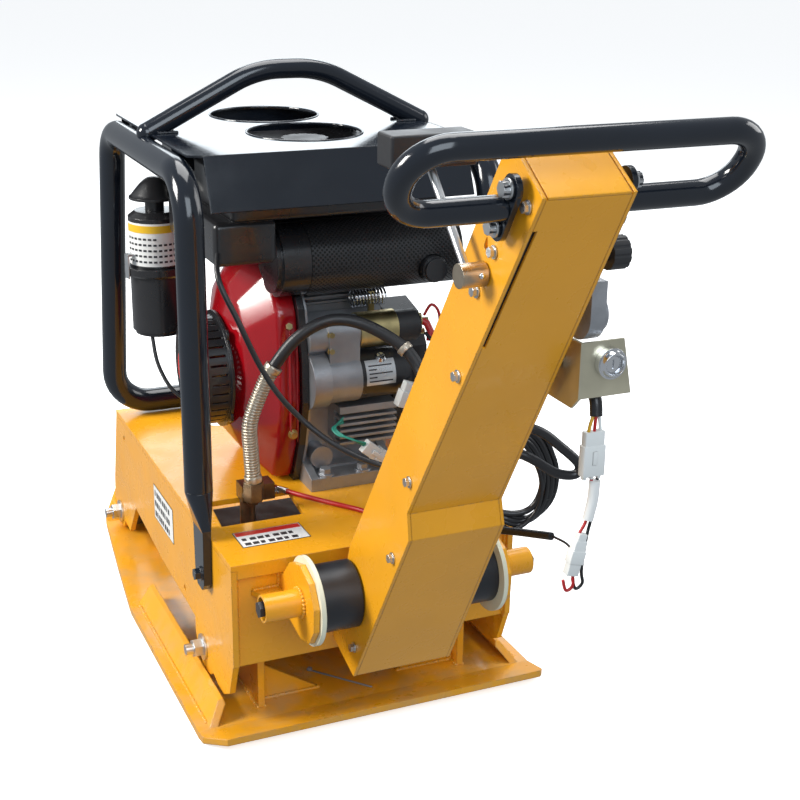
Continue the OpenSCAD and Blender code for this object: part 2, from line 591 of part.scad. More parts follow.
// hand loop: lower bar centre, and the lean and height of the loop
lo = [-781, 799];
loop_x = 3.5;
loop_h = 84;
loop_lean = 36;
lu = [lo[0] - loop_h * sin(loop_lean), lo[1] + loop_h * cos(loop_lean)];
module handle_loop() color([0.08, 0.09, 0.11]) swept(bent([[-64.6, lo[0], lo[1]],
    [loop_x - loop_hw, lo[0], lo[1]], [loop_x - loop_hw, lu[0], lu[1]],
    [loop_x + loop_hw, lu[0], lu[1]], [loop_x + loop_hw, lo[0], lo[1]],
    [64.6, lo[0], lo[1]]], [0, 40, 40, 40, 40, 0], 9), loop_r, 24);
// oval flanges at the loop's ends, with two bolts each
module loop_flanges() color([0.08, 0.09, 0.11]) for (s = [0, 1]) mirror([s, 0, 0]) {
    hull() for (k = [-24, 24]) xcyl(14, -64.4, -58.4, lo[0] + k * sin(lean),
        lo[1] - k * cos(lean), 32);
    for (k = [-24, 24]) {
        xcyl(9, -67, -64.4, lo[0] + k * sin(lean), lo[1] - k * cos(lean), 32);
        xcyl(8, -74, -67, lo[0] + k * sin(lean), lo[1] - k * cos(lean), 6);
    }
}
low_bolts = [[-804, 803], [-680, 602], [-572, 442], [-534, 330], [-425, 155]];
left_bolts = [[-743, 747.5], [-711, 700.5]];
right_bolts = [[-736, 754], [-705, 680]];
module box_bolts() color([0.72, 0.72, 0.70]) for (s = [0, 1]) mirror([s, 0, 0])
    for (b = concat(low_bolts, s == 0 ? left_bolts : right_bolts))
        translate([-hw(b[1]) - 0.35, b[0], b[1]]) rotate([0, splay - 90, 0]) {
        cylinder(r = 7, h = 1.4, $fn = 32);
        translate([0, 0, 1.4]) cylinder(r = 5.6, h = 5, $fn = 6);
    }
module pivot_bushes() color([0.07, 0.07, 0.08]) for (s = [0, 1]) mirror([s, 0, 0])
    difference() {
        xcyl(44, -122.7, -67.8, pv[0], pv[1]);
        xcyl(10.06, -124, -60, pv[0], pv[1]);
    }
// direction lever on the left of the head
lv = [-726, 722];
rod_a = [-71, lv[0], lv[1]];
rod_b = [-71, -634, 812];
module lever_hub() color([0.66, 0.60, 0.48]) difference() {
    union() {
        xcyl(12.5, -82, -54, lv[0], lv[1]);
        xcyl(9, -54, -38, lv[0], lv[1]);
    }
    seg(rod_a, rod_b, 4.6, 40);
}
module lever_rod() color([0.78, 0.79, 0.80]) seg(rod_a, rod_b, 4.5, 40);
module lever_grip() color([0.05, 0.05, 0.055]) difference() {
    hull() {
        for (y = [-644, -612]) for (z = [817, 845]) for (x = [-117, -27])
            translate([x, y, z]) sphere(r = 3, $fn = 12);
    }
    seg(rod_a, rod_b, 4.6, 40);
}
// key switch on a bent bracket at the right
kz = 612;
kx = 99;
module key_bracket() color([0.70, 0.66, 0.50]) difference() {
    union() {
        yz_slab(64.5, 67.5) polygon([[-722, 574], [-708, 560], [-652, 560], [-652, 636],
            [-722, 636]]);
        translate([0, -719, 0]) rotate([90, 0, 0]) linear_extrude(height = 3)
            polygon([[64.5, 574], [129, 574], [117, 636], [64.5, 636]]);
        translate([64.5, -719.1, 574]) cube([62, 40, 3]);
    }
    translate([kx, -700, kz]) rotate([90, 0, 0]) cylinder(r = 12.1, h = 40, $fn = 48);
    xcyl(3.5, 60, 80, -668, 590);
}
module key_switch() color([0.80, 0.80, 0.82]) difference() {
    union() {
        translate([kx, -722.2, kz]) rotate([90, 0, 0]) cylinder(r = 17, h = 8, $fn = 64);
        translate([kx, -690, kz]) rotate([90, 0, 0]) cylinder(r = 12, h = 32.2, $fn = 48);
    }
    translate([kx, -700, kz]) rotate([90, 0, 0]) cylinder(r = 9.05, h = 40, $fn = 48);
}
module key_barrel() color([0.70, 0.70, 0.72]) difference() {
    translate([kx, -700.3, kz]) rotate([90, 0, 0]) cylinder(r = 9, h = 31, $fn = 48);
    translate([kx - 0.9, -733, kz - 5]) cube([1.8, 4, 10]);
}
module hand_pump() color([0.55, 0.56, 0.57]) {
    xcyl(27, 66, 84, -708, 664);
    xcyl(20, 84, 92, -708, 664);
    translate([66, -735, 664]) cube([18, 54, 40]);
    xcyl(9, 66, 76, -708, 708, 32);
}
module throttle_knob() color([0.05, 0.05, 0.055]) {
    xcyl(7.9, 44, 76, -740, 735, 40);
    difference() {
        xcyl(17.5, 76, 96, -740, 735, 48);
        for (a = [0 : 30 : 330]) translate([75, -740, 735]) rotate([a, 0, 0])
            translate([0, 0, 19.5]) rotate([0, 90, 0]) cylinder(r = 3, h = 30, $fn = 12);
    }
}
// the key's lead drops to a connector and a fuse holder; the loom hangs in two loops in front
// of the box
module harness() color([0.04, 0.04, 0.045]) {
    swept(curve([[99, -696, 569.5], [99, -704, 556], [98, -708, 531]], 4), 7, 8);
    translate([82, -712, 476]) cube([27, 10, 55]);
    swept(curve([[98, -707, 476], [96, -708, 450], [90, -708, 420], [82, -706, 412.2]], 4), 6, 8);
    translate([71, -712, 362]) cube([18, 10, 50]);
    swept(curve(loom_wire, 4), 2, 6);
    swept(curve(loom_sleeve, 4), 5, 8);
    swept(curve(loom_a, 4), 6.5, 8);
    swept(curve(loom_b, 4), 8.5, 8);
}
loom_wire = [[89, -706, 372], [105, -680, 362], [128, -620, 350], [131.5, -571.5, 340.4]];
loom_sleeve = [[131, -570, 340], [118, -520, 326], [100, -470, 314], [75, -408, 311],
    [48, -396, 308], [28, -404, 304], [22, -440, 300]];
loom_a = [[18, -548, 468], [26, -514, 473], [52, -502, 475], [80, -505, 474],
    [132, -520, 460], [166, -522, 434],
    [192, -524, 408], [188, -522, 394], [162, -518, 399], [124, -512, 424], [80, -490, 440],
    [56, -482, 440], [32, -490, 440], [22, -532, 444]];
loom_b = [[24, -522, 418], [36, -482, 416], [62, -463, 424], [90, -470, 438],
    [150, -472, 436], [179, -470, 395],
    [185, -470, 360], [175, -470, 331], [150, -466, 314], [118, -456, 322],
    [78, -412, 336], [52, -402, 340], [32, -414, 350], [24, -470, 376]];

sole_plate();
mount_posts();
rubber_mounts();
mount_studs();
exciter_housing();
eccentric_shaft_a();
eccentric_shaft_b();
shift_piston();
deck_top();
deck_cheeks();
rear_panel();
handle_ears();
pivot_bolts();
nylon_discs();
roll_frame();
frame_feet();
lifting_bow();
canopy();
fuel_tank();
fuel_cap();
crankcase();
cylinder_head();
blower_housing();
shroud_plate();
recoil_starter();
crank_pulley();
drive_belt();
belt_guard();
starter_nose();
starter_motor();
starter_solenoid();
regulator();
governor_lever();
muffler_body();
muffler_shield();
air_cleaner_bowl();
air_cleaner_body();
air_cleaner_cap();
intake_elbow();
hose_fitting();
hydraulic_hose();
ground_cable();
throttle_cable();
side_plate_left();
side_plate_right();
rear_cover();
head_block();
handle_loop();
loop_flanges();
box_bolts();
pivot_bushes();
lever_hub();
lever_rod();
lever_grip();
key_bracket();
key_switch();
key_barrel();
hand_pump();
throttle_knob();
harness();
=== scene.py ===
from math import cos, pi, radians, sin, tan

import bmesh
import bpy
from mathutils import Matrix, Vector


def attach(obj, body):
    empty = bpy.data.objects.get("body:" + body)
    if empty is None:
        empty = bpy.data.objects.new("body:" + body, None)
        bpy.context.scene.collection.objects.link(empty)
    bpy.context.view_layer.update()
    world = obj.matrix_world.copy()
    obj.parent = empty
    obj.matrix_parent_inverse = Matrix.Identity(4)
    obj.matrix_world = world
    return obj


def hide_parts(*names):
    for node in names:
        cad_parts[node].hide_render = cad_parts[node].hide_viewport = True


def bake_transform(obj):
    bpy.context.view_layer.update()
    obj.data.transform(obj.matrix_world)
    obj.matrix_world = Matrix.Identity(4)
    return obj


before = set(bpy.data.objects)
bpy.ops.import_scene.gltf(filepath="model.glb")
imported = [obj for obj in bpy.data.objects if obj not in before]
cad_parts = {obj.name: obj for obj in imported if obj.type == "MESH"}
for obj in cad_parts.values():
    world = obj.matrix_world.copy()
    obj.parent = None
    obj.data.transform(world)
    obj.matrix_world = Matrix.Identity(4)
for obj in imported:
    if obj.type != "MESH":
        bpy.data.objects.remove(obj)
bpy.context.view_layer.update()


# ---- Sole plate ----
# The plate is one sheet of 10 mm steel, turned up at the front and rear, with folded ribs welded
# along both sides. It is sprayed with orange-yellow enamel that chips at the edges.
def finish(name, colour, rough, metal=0.0, coat=0.0, spread=0.10, patch=7.0, grain=350.0,
           bump=0.02, edge=0.0015, worn=None, wear=0.5, dust=None, dust_top=0.05):
    """A sprayed, cast, plated or moulded finish: soft patches of colour and gloss, a fine grain
    and rounded edges. worn is the colour that shows along rubbed edges, and dust is the colour
    of the dirt that lies below dust_top."""
    mat = bpy.data.materials.new(name)
    mat.use_nodes = True
    nodes = mat.node_tree.nodes
    links = mat.node_tree.links
    shader = nodes["Principled BSDF"]
    place = nodes.new("ShaderNodeTexCoord").outputs["Object"]

    def cloud(scale, detail=4.0):
        noise = nodes.new("ShaderNodeTexNoise")
        noise.inputs["Scale"].default_value = scale
        noise.inputs["Detail"].default_value = detail
        links.new(place, noise.inputs["Vector"])
        return noise.outputs["Fac"]

    def spread_to(source, low, high, to_low, to_high):
        span = nodes.new("ShaderNodeMapRange")
        span.inputs["From Min"].default_value = low
        span.inputs["From Max"].default_value = high
        span.inputs["To Min"].default_value = to_low
        span.inputs["To Max"].default_value = to_high
        links.new(source, span.inputs["Value"])
        return span.outputs["Result"]

    def blend_colour(amount, first, second):
        mix = nodes.new("ShaderNodeMix")
        mix.data_type = "RGBA"
        links.new(amount, mix.inputs["Factor"])
        for socket, value in ((mix.inputs["A"], first), (mix.inputs["B"], second)):
            if isinstance(value, bpy.types.NodeSocket):
                links.new(value, socket)
            else:
                socket.default_value = (*value, 1.0)
        return mix.outputs["Result"]

    def product(first, second):
        node = nodes.new("ShaderNodeMath")
        node.operation = "MULTIPLY"
        links.new(first, node.inputs[0])
        links.new(second, node.inputs[1])
        return node.outputs["Value"]

    dark = [c * (1.0 - spread) for c in colour]
    light = [min(1.0, c * (1.0 + spread)) for c in colour]
    paint = blend_colour(spread_to(cloud(patch), 0.3, 0.7, 0.0, 1.0), dark, light)
    soft_edge = nodes.new("ShaderNodeBevel")
    soft_edge.samples = 4
    soft_edge.inputs["Radius"].default_value = edge
    if worn is not None:
        flat = nodes.new("ShaderNodeNewGeometry").outputs["Normal"]
        lean = nodes.new("ShaderNodeVectorMath")
        lean.operation = "DOT_PRODUCT"
        links.new(flat, lean.inputs[0])
        links.new(soft_edge.outputs["Normal"], lean.inputs[1])
        rubbed = spread_to(lean.outputs["Value"], 0.97, 0.80, 0.0, 1.0)
        broken = spread_to(cloud(90.0, 6.0), 0.50, 0.62, 0.0, wear)
        paint = blend_colour(product(rubbed, broken), paint, worn)
    if dust is not None:
        height = nodes.new("ShaderNodeSeparateXYZ")
        links.new(place, height.inputs["Vector"])
        low = spread_to(height.outputs["Z"], 0.0, dust_top, 0.6, 0.0)
        specks = spread_to(cloud(28.0, 6.0), 0.42, 0.68, 0.0, 1.0)
        paint = blend_colour(product(low, specks), paint, dust)
    links.new(paint, shader.inputs["Base Color"])
    gloss = spread_to(cloud(24.0), 0.3, 0.7, rough * 0.8, min(1.0, rough * 1.25))
    links.new(gloss, shader.inputs["Roughness"])
    grains = nodes.new("ShaderNodeBump")
    grains.inputs["Strength"].default_value = bump
    grains.inputs["Distance"].default_value = 0.001
    links.new(cloud(grain, 3.0), grains.inputs["Height"])
    links.new(soft_edge.outputs["Normal"], grains.inputs["Normal"])
    links.new(grains.outputs["Normal"], shader.inputs["Normal"])
    shader.inputs["Metallic"].default_value = metal
    shader.inputs["Coat Weight"].default_value = coat
    shader.inputs["Coat Roughness"].default_value = 0.06
    return mat


def dress(material, *nodes):
    """Gives CAD nodes a material."""
    for node in nodes:
        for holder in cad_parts[node].material_slots:
            holder.material = material


YELLOW = (0.80, 0.355, 0.012)
plate_enamel = finish("plate_enamel", YELLOW, 0.30, coat=0.15, spread=0.07, bump=0.10, grain=160.0,
                      edge=0.003, worn=(0.30, 0.20, 0.12), wear=0.7, dust=(0.42, 0.30, 0.17))
deck_enamel = finish("deck_enamel", YELLOW, 0.28, coat=0.15, spread=0.06, bump=0.06, grain=120.0,
                     edge=0.0025, worn=(0.33, 0.22, 0.13), wear=0.6)
dress(plate_enamel, "sole_plate", "mount_posts")


def piece_from(bm, name, body, slot, *materials, smooth=True, angle=40.0):
    """Makes a finished bmesh into an object that rides on a body. slot is not used."""
    bmesh.ops.remove_doubles(bm, verts=bm.verts, dist=1e-6)
    bmesh.ops.recalc_face_normals(bm, faces=bm.faces)
    for face in bm.faces:
        face.smooth = smooth
    mesh = bpy.data.meshes.new(name)
    bm.to_mesh(mesh)
    bm.free()
    for material in materials:
        mesh.materials.append(material)
    if smooth:
        mesh.set_sharp_from_angle(angle=radians(angle))
    piece = bpy.data.objects.new(name, mesh)
    bpy.context.scene.collection.objects.link(piece)
    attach(piece, body)
    return piece


def weld_beads(name, slot, material, lines, size=0.0035):
    """Rows of overlapping weld beads along straight joints."""
    bm = bmesh.new()
    for start, end in lines:
        start, end = Vector(start), Vector(end)
        count = max(2, int((end - start).length / (size * 1.1)))
        for k in range(count + 1):
            place = Matrix.Translation(start.lerp(end, k / count))
            swell = 1.0 + 0.15 * sin(k * 2.4)
            bmesh.ops.create_icosphere(bm, subdivisions=1, radius=size * swell, matrix=place)
    piece_from(bm, name, "machine", slot, material, angle=180.0)


PLATE_TOP = 0.0105
POST_X = 0.147
POST_REAR = -0.270
plate_welds = []
for side in (-1, 1):
    # along the rib, down both faces of the post's long plate, then along and up its short one
    plate_welds.append(((side * 0.234, -0.300, 0.010), (side * 0.234, 0.070, 0.010)))
    for face_x in (POST_X, POST_X + 0.010):
        plate_welds.append(((side * face_x, -0.290, PLATE_TOP), (side * face_x, -0.152, PLATE_TOP)))
    plate_welds.append(((side * POST_X, -0.271, PLATE_TOP), (side * 0.062, -0.271, PLATE_TOP)))
    plate_welds.append(((side * POST_X, POST_REAR, 0.012), (side * POST_X, POST_REAR, 0.064)))
weld_beads("plate_welds", "yellow_paint", plate_enamel, plate_welds)

# ---- Cable tie ----
# A spare nylon cable tie is left lying on the plate behind the post. It is a thin flat strap
# with a square head, and nothing fixes it.
grey_nylon = finish("grey_nylon", (0.30, 0.31, 0.32), 0.40, spread=0.10, bump=0.03)


def slab(bm, low, high, index=0, place=None):
    """A box between two corners, with one material."""
    low, high = Vector(low), Vector(high)
    made = bmesh.ops.create_cube(bm, size=1.0)["verts"]
    bmesh.ops.scale(bm, vec=high - low, verts=made)
    bmesh.ops.translate(bm, vec=(low + high) / 2, verts=made)
    if place is not None:
        bmesh.ops.transform(bm, matrix=place, verts=made)
    for face in {f for v in made for f in v.link_faces}:
        face.material_index = index


def ease(bm, offset, segments=2, edges=None):
    """Rounds edges over, or every edge where none are given."""
    bmesh.ops.bevel(bm, geom=bm.edges[:] if edges is None else edges, offset=offset,
                    offset_type="OFFSET", affect="EDGES", segments=segments, profile=0.5,
                    material=-1)


bm = bmesh.new()
lying = Matrix.Translation((-0.058, -0.222, 0.0106)) @ Matrix.Rotation(radians(-50.0), 4, "Z")
slab(bm, (0, -0.0017, 0), (0.104, 0.0017, 0.0012))
slab(bm, (-0.001, -0.003, 0), (0.005, 0.003, 0.0042))
ease(bm, 0.0004)
bmesh.ops.transform(bm, matrix=lying, verts=bm.verts)
piece_from(bm, "cable_tie", "machine", "nylon", grey_nylon)

# ---- Rubber mounts and studs ----
# Bonded rubber blocks carry the deck on the sole plate. A zinc-plated stud, washer and nut
# holds each one through the cheek.
bright_zinc = finish("bright_zinc", (0.62, 0.63, 0.64), 0.30, metal=1.0, spread=0.10, patch=60.0,
                     bump=0.04, edge=0.0006)
dull_rubber = finish("dull_rubber", (0.014, 0.015, 0.018), 0.55, spread=0.2, bump=0.12, grain=500.0,
                     edge=0.002, dust=(0.20, 0.16, 0.12), dust_top=0.14)
dress(dull_rubber, "rubber_mounts")
dress(bright_zinc, "mount_studs")

# ---- Exciter ----
# A cast-iron box bolted to the plate holds two eccentric shafts, which turn opposite ways to
# throw it. The box is painted dark grey, and the shafts are turned steel.
dark_casting = finish("dark_casting", (0.050, 0.052, 0.056), 0.55, spread=0.15, bump=0.35,
                      grain=420.0, edge=0.003, dust=(0.25, 0.19, 0.12), dust_top=0.16)
turned_steel = finish("turned_steel", (0.50, 0.50, 0.51), 0.32, metal=1.0, patch=30.0, bump=0.04,
                      edge=0.0008)
dress(dark_casting, "exciter_housing")
dress(turned_steel, "eccentric_shaft_a", "eccentric_shaft_b", "shift_piston")

# ---- Deck ----
# An 8 mm deck plate, two cheeks and a rear panel are welded into one box and sprayed with
# the same enamel. Two vinyl labels are stuck on it, with plain ruled lines in place of words.
dress(deck_enamel, "deck_top", "deck_cheeks", "rear_panel", "handle_ears")
label_white = finish("label_white", (0.80, 0.80, 0.78), 0.35, spread=0.03, bump=0.02, edge=0.0001)
label_red = finish("label_red", (0.62, 0.030, 0.022), 0.32, spread=0.05, bump=0.02, edge=0.0001)
label_ink = finish("label_ink", (0.030, 0.030, 0.034), 0.40, spread=0.10, bump=0.02, edge=0.0001)


def flat_label(name, place, width, height, head, rows):
    """A vinyl label lying on a plane: an ink border, a white field, a red head where head is
    its height, and ruled rows. place turns the label's own x, y plane onto the part."""
    bm = bmesh.new()
    slab(bm, (0, 0, 0), (width, height, 0.0004), 2, place)
    slab(bm, (0.0012, 0.0012, 0.0002), (width - 0.0012, height - 0.0012, 0.0005), 0, place)
    if head:
        slab(bm, (0.002, height - head, 0.0003), (width - 0.002, height - 0.002, 0.0006), 1, place)
    pitch = (height - head - 0.006) / rows
    for k in range(rows):
        y = height - head - 0.004 - (k + 0.8) * pitch
        x = 0.006
        for step in range(int((width - 0.016) / 0.011)):
            long = 0.0085 if (step + k) % 3 else 0.0060
            slab(bm, (x, y, 0.0003), (x + long, y + pitch * 0.55, 0.0006), 2, place)
            x += 0.011
    piece_from(bm, name, "machine", "nylon", label_white, label_red, label_ink, smooth=False)


deck_spot = Matrix.Translation((-0.173, -0.292, 0.2561)) @ Matrix.Rotation(radians(0.5), 4, "Z")
flat_label("deck_label", deck_spot, 0.096, 0.049, 0.014, 2)
cheek_spot = Matrix(((0, 0, -1, -0.2051), (-1, 0, 0, 0.058), (0, 1, 0, 0.162), (0, 0, 0, 1)))
flat_label("cheek_label", cheek_spot, 0.110, 0.056, 0.0, 3)
deck_welds = []
for side in (-1, 1):
    # up both faces of the ear's plate, across its foot, then up the panel's outer corner
    deck_welds.append(((side * 0.138, -0.3315, 0.192), (side * 0.138, -0.3315, 0.232)))
    deck_welds.append(((side * 0.129, -0.3315, 0.192), (side * 0.129, -0.3315, 0.232)))
    deck_welds.append(((side * 0.140, -0.3325, 0.214), (side * 0.172, -0.3325, 0.214)))
    deck_welds.append(((side * 0.196, -0.3320, 0.112), (side * 0.196, -0.3320, 0.240)))
weld_beads("deck_welds", "yellow_paint", deck_enamel, deck_welds, 0.003)

# ---- Handle pivot ----
# Two turned bosses on ears carry the handle on black bolts, with a large nylon disc each side
# and a rubber bush inside.
ivory_nylon = finish("ivory_nylon", (0.74, 0.74, 0.58), 0.42, spread=0.05, patch=20.0, bump=0.04,
                     edge=0.0012)
black_bolt = finish("black_bolt", (0.045, 0.045, 0.048), 0.40, metal=0.6, spread=0.15, bump=0.05,
                    edge=0.0008)
clean_rubber = finish("clean_rubber", (0.013, 0.015, 0.020), 0.38, spread=0.2, bump=0.08,
                      grain=300.0, edge=0.003)
dress(ivory_nylon, "nylon_discs")
dress(black_bolt, "pivot_bolts")
dress(clean_rubber, "pivot_bushes")
PIVOT = Vector((0, -0.413, 0.228))
boss_rings = []
for side in (-1, 1):
    for k in range(24):
        turn = k * pi / 12
        bead = PIVOT + Vector((side * 0.1385, 0.0185 * cos(turn), 0.0185 * sin(turn)))
        boss_rings.append((bead, bead))
weld_beads("boss_welds", "yellow_paint", deck_enamel, boss_rings, 0.003)

# ---- Roll frame ----
# One long tube is bent over the engine and down to the front feet, and sprayed gloss black.
# Its flattened rear ends are bolted to the cheeks, and a lifting bow is welded across the top.
gloss_black = finish("gloss_black", (0.007, 0.010, 0.016), 0.14, coat=0.25, spread=0.15, bump=0.05,
                     grain=90.0, worn=(0.10, 0.10, 0.10), wear=0.5)


def bend_points(before, corner, after, radius, steps=10):
    """Points of the arc that rounds one corner of a bent tube."""
    u = (corner - before).normalized()
    v = (after - corner).normalized()
    turn = u.angle(v)
    side = (v - u.dot(v) * u).normalized()
    centre = corner - u * radius * tan(turn / 2) + side * radius
    return [centre + radius * (u * sin(turn * k / steps) - side * cos(turn * k / steps))
            for k in range(steps + 1)]


def bent_route(corners, radii):
    """Points of a bent tube: straight between its corners, which are rounded by radii."""
    points = [Vector(c) for c in corners]
    route = [points[0]]
    for i in range(1, len(points) - 1):
        route += bend_points(points[i - 1], points[i], points[i + 1], radii[i - 1])
    return route + [points[-1]]


def tube(name, body, material, route, radius, around=6):
    """A round tube, hose or wire along a route, with closed ends."""
    data = bpy.data.curves.new(name, "CURVE")
    data.dimensions = "3D"
    data.bevel_depth = radius
    data.bevel_resolution = around
    data.use_fill_caps = True
    line = data.splines.new("POLY")
    line.points.add(len(route) - 1)
    for point, place in zip(line.points, route):
        point.co = (*place, 1.0)
    line.use_smooth = True
    holder = bpy.data.objects.new(name + "_line", data)
    bpy.context.scene.collection.objects.link(holder)
    bpy.context.view_layer.update()
    mesh = bpy.data.meshes.new_from_object(holder)
    bpy.data.objects.remove(holder)
    mesh.materials.clear()
    mesh.materials.append(material)
    mesh.shade_smooth()
    mesh.set_sharp_from_angle(angle=radians(50.0))
    piece = bpy.data.objects.new(name, mesh)
    bpy.context.scene.collection.objects.link(piece)
    if body is not None:
        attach(piece, body)
    return piece


LEG_X = 0.212
leg_sides = ((-0.225, 0.320), (-0.225, 0.738), (0.186, 0.738), (0.272, 0.277))
frame_corners = [(-LEG_X, y, z) for y, z in leg_sides]
frame_corners += [(LEG_X, y, z) for y, z in reversed(leg_sides)]
cage_tube = tube("cage_tube", "machine", gloss_black,
                 bent_route(frame_corners, [0.062, 0.052, 0.062, 0.062, 0.052, 0.062]), 0.019, 10)
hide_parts("roll_frame")
BOW_END = Vector((0.205, 0, 0.7602))
bow_corners = [(-BOW_END.x, 0, BOW_END.z), (-0.047, 0, 0.8405), (0.047, 0, 0.8405), BOW_END]
bow_tube = tube("lifting_bow_tube", "machine", gloss_black,
                bent_route(bow_corners, [0.150, 0.150]), 0.014, 8)
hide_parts("lifting_bow")
dress(gloss_black, "frame_feet")
bm = bmesh.new()
for side in (-1, 1):
    bmesh.ops.create_uvsphere(bm, u_segments=32, v_segments=20, radius=0.0142,
                              matrix=Matrix.Translation((side * BOW_END.x, 0, BOW_END.z)))
piece_from(bm, "bow_ends", "machine", "black_paint", gloss_black)
bow_welds = []
for side in (-1, 1):
    for edge_y in (-0.0125, 0.0125):
        bow_welds.append(((side * 0.166, edge_y, 0.7612), (side * 0.192, edge_y, 0.7612)))
weld_beads("bow_welds", "black_paint", gloss_black, bow_welds, 0.0026)

# ---- Canopy ----
# A folded steel sheet closes the top of the cage, with two large holes over the tank. Each
# hole's edge is rolled over, and the sheet is sprayed like the tube.
dress(gloss_black, "canopy")
HOLE_X = 0.004
HOLE_RADIUS = 0.081
REAR_HOLE_Y = -0.057
bm = bmesh.new()
for hole_y in (REAR_HOLE_Y, 0.120):
    loop = bmesh.ops.create_circle(bm, segments=8, radius=0.0018)["verts"]
    bmesh.ops.rotate(bm, cent=(0, 0, 0), matrix=Matrix.Rotation(pi / 2, 3, "X"), verts=loop)
    bmesh.ops.translate(bm, vec=(HOLE_X + HOLE_RADIUS, hole_y, 0.7598), verts=loop)
    ring_edges = list({e for v in loop for e in v.link_edges})
    bmesh.ops.spin(bm, geom=ring_edges, cent=(HOLE_X, hole_y, 0), axis=(0, 0, 1), angle=2 * pi,
                   steps=72, use_merge=True, use_duplicate=False)
piece_from(bm, "canopy_rims", "machine", "black_paint", gloss_black)

# ---- Fuel tank ----
# A steel tank pressed in steps hangs under the canopy, with a sump at its rear left. A ribbed
# plastic cap screws on to its neck under the rear hole.
satin_black = finish("satin_black", (0.016, 0.016, 0.018), 0.28, coat=0.3, spread=0.15, bump=0.10,
                     grain=200.0, worn=(0.12, 0.12, 0.12), wear=0.4)
black_plastic = finish("black_plastic", (0.018, 0.018, 0.020), 0.45, spread=0.12, bump=0.10,
                       grain=700.0, edge=0.0008)


def disc(bm, place, radius, depth, segments=48):
    """A round bar or disc, centred at place and standing along its z."""
    bmesh.ops.create_cone(bm, cap_ends=True, segments=segments, radius1=radius, radius2=radius,
                          depth=depth, matrix=place)


bm = bmesh.new()
for low, high in (((-0.142, -0.176, 0.664), (0.168, 0.174, 0.728)),
                  ((-0.165, -0.174, 0.606), (-0.078, 0.060, 0.666)),
                  ((-0.134, -0.048, 0.622), (0.160, 0.150, 0.666))):
    slab(bm, low, high)
ease(bm, 0.009, 4)
disc(bm, Matrix.Translation((HOLE_X, REAR_HOLE_Y, 0.732)), 0.030, 0.008)
tank = piece_from(bm, "tank_shell", "machine", "black_engine", satin_black)
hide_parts("fuel_tank")
dress(black_plastic, "fuel_cap")

# ---- Crankcase and cylinder ----
# Sand-cast aluminium, left bare: the crankcase with its feet and oil filler, and the finned
# cylinder above. A coil of bright wire guards the short breather pipe beside the rocker box.
raw_casting = finish("raw_casting", (0.36, 0.37, 0.39), 0.42, metal=0.75, spread=0.14, patch=26.0,
                     bump=0.35, grain=480.0, edge=0.0012)
bright_chrome = finish("bright_chrome", (0.72, 0.73, 0.75), 0.10, metal=1.0, spread=0.04,
                       bump=0.01, edge=0.0008)
dress(raw_casting, "crankcase", "cylinder_head")


def coil_route(centre_line, radius, pitch, around=12):
    """Points of a wire wound round a centre line, a few to each turn."""
    lengths = [(b - a).length for a, b in zip(centre_line, centre_line[1:])]
    total = sum(lengths)
    count = int(total / pitch * around)
    points = []
    for k in range(count + 1):
        far = total * k / count
        i = 0
        while i < len(lengths) - 1 and far > lengths[i]:
            far -= lengths[i]
            i += 1
        a, b = centre_line[i], centre_line[i + 1]
        along = (b - a).normalized()
        out = along.cross(Vector((0, 0, 1)) if abs(along.z) < 0.8 else Vector((0, 1, 0)))
        out = out.normalized()
        turn = 2 * pi * k / around
        points.append(a.lerp(b, min(1.0, far / (b - a).length))
                      + radius * (out * cos(turn) + along.cross(out) * sin(turn)))
    return points


breather = [Vector((0.062 + 0.005 * k, -0.086, 0.522)) for k in range(11)]
tube("breather_coil", "machine", bright_chrome, coil_route(breather, 0.0125, 0.005),
     0.0017, 2)

# ---- Blower housing ----
# The red cover is pressed from sheet: a straight rim, then faces that lean in to a flat front
# round the fan. A black back plate and a thin light gasket plate close it against the engine.
engine_red = finish("engine_red", (0.28, 0.003, 0.007), 0.14, coat=0.35, spread=0.10, bump=0.03,
                    grain=90.0, edge=0.004)
CRANK = Vector((0, -0.012, 0.415))
rim_outline = [(-0.092, 0.262), (-0.120, 0.322), (-0.138, 0.392), (-0.136, 0.446),
               (-0.122, 0.520), (-0.084, 0.572), (-0.034, 0.600), (0.034, 0.600),
               (0.084, 0.566), (0.112, 0.500), (0.122, 0.420), (0.108, 0.330), (0.082, 0.262)]


def outline_face(bm, outline, x, grow=1.0):
    """One flat face standing across the machine, its outline grown about the crank."""
    corners = [bm.verts.new((x, CRANK.y + (y - CRANK.y) * grow, CRANK.z + (z - CRANK.z) * grow))
               for y, z in outline]
    return bm.faces.new(corners)


def lifted(bm, face, out, shrink):
    """Extrudes a face by out and shrinks it about the crank; returns the new face."""
    made = bmesh.ops.extrude_face_region(bm, geom=[face])["geom"]
    verts = [g for g in made if isinstance(g, bmesh.types.BMVert)]
    top = [g for g in made if isinstance(g, bmesh.types.BMFace)][0]
    bmesh.ops.translate(bm, vec=out, verts=verts)
    move = Matrix.Translation(CRANK) @ Matrix.Diagonal((1, shrink, shrink, 1))
    bmesh.ops.transform(bm, matrix=move @ Matrix.Translation(-CRANK), verts=verts)
    if face.is_valid:
        bmesh.ops.delete(bm, geom=[face], context="FACES_KEEP_BOUNDARY")
    return top


bm = bmesh.new()
back = outline_face(bm, rim_outline, -0.034)
front = lifted(bm, back, (-0.028, 0, 0), 1.0)
front = lifted(bm, front, (-0.004, 0, 0), 0.965)
front = lifted(bm, front, (-0.038, 0, 0), 0.72)
front = lifted(bm, front, (-0.012, 0, 0), 0.66)
bmesh.ops.holes_fill(bm, edges=[e for e in bm.edges if e.is_boundary], sides=0)
creases = [e for e in bm.edges if len(e.link_faces) == 2 and e.calc_face_angle(0) > radians(14)]
ease(bm, 0.005, 3, creases)
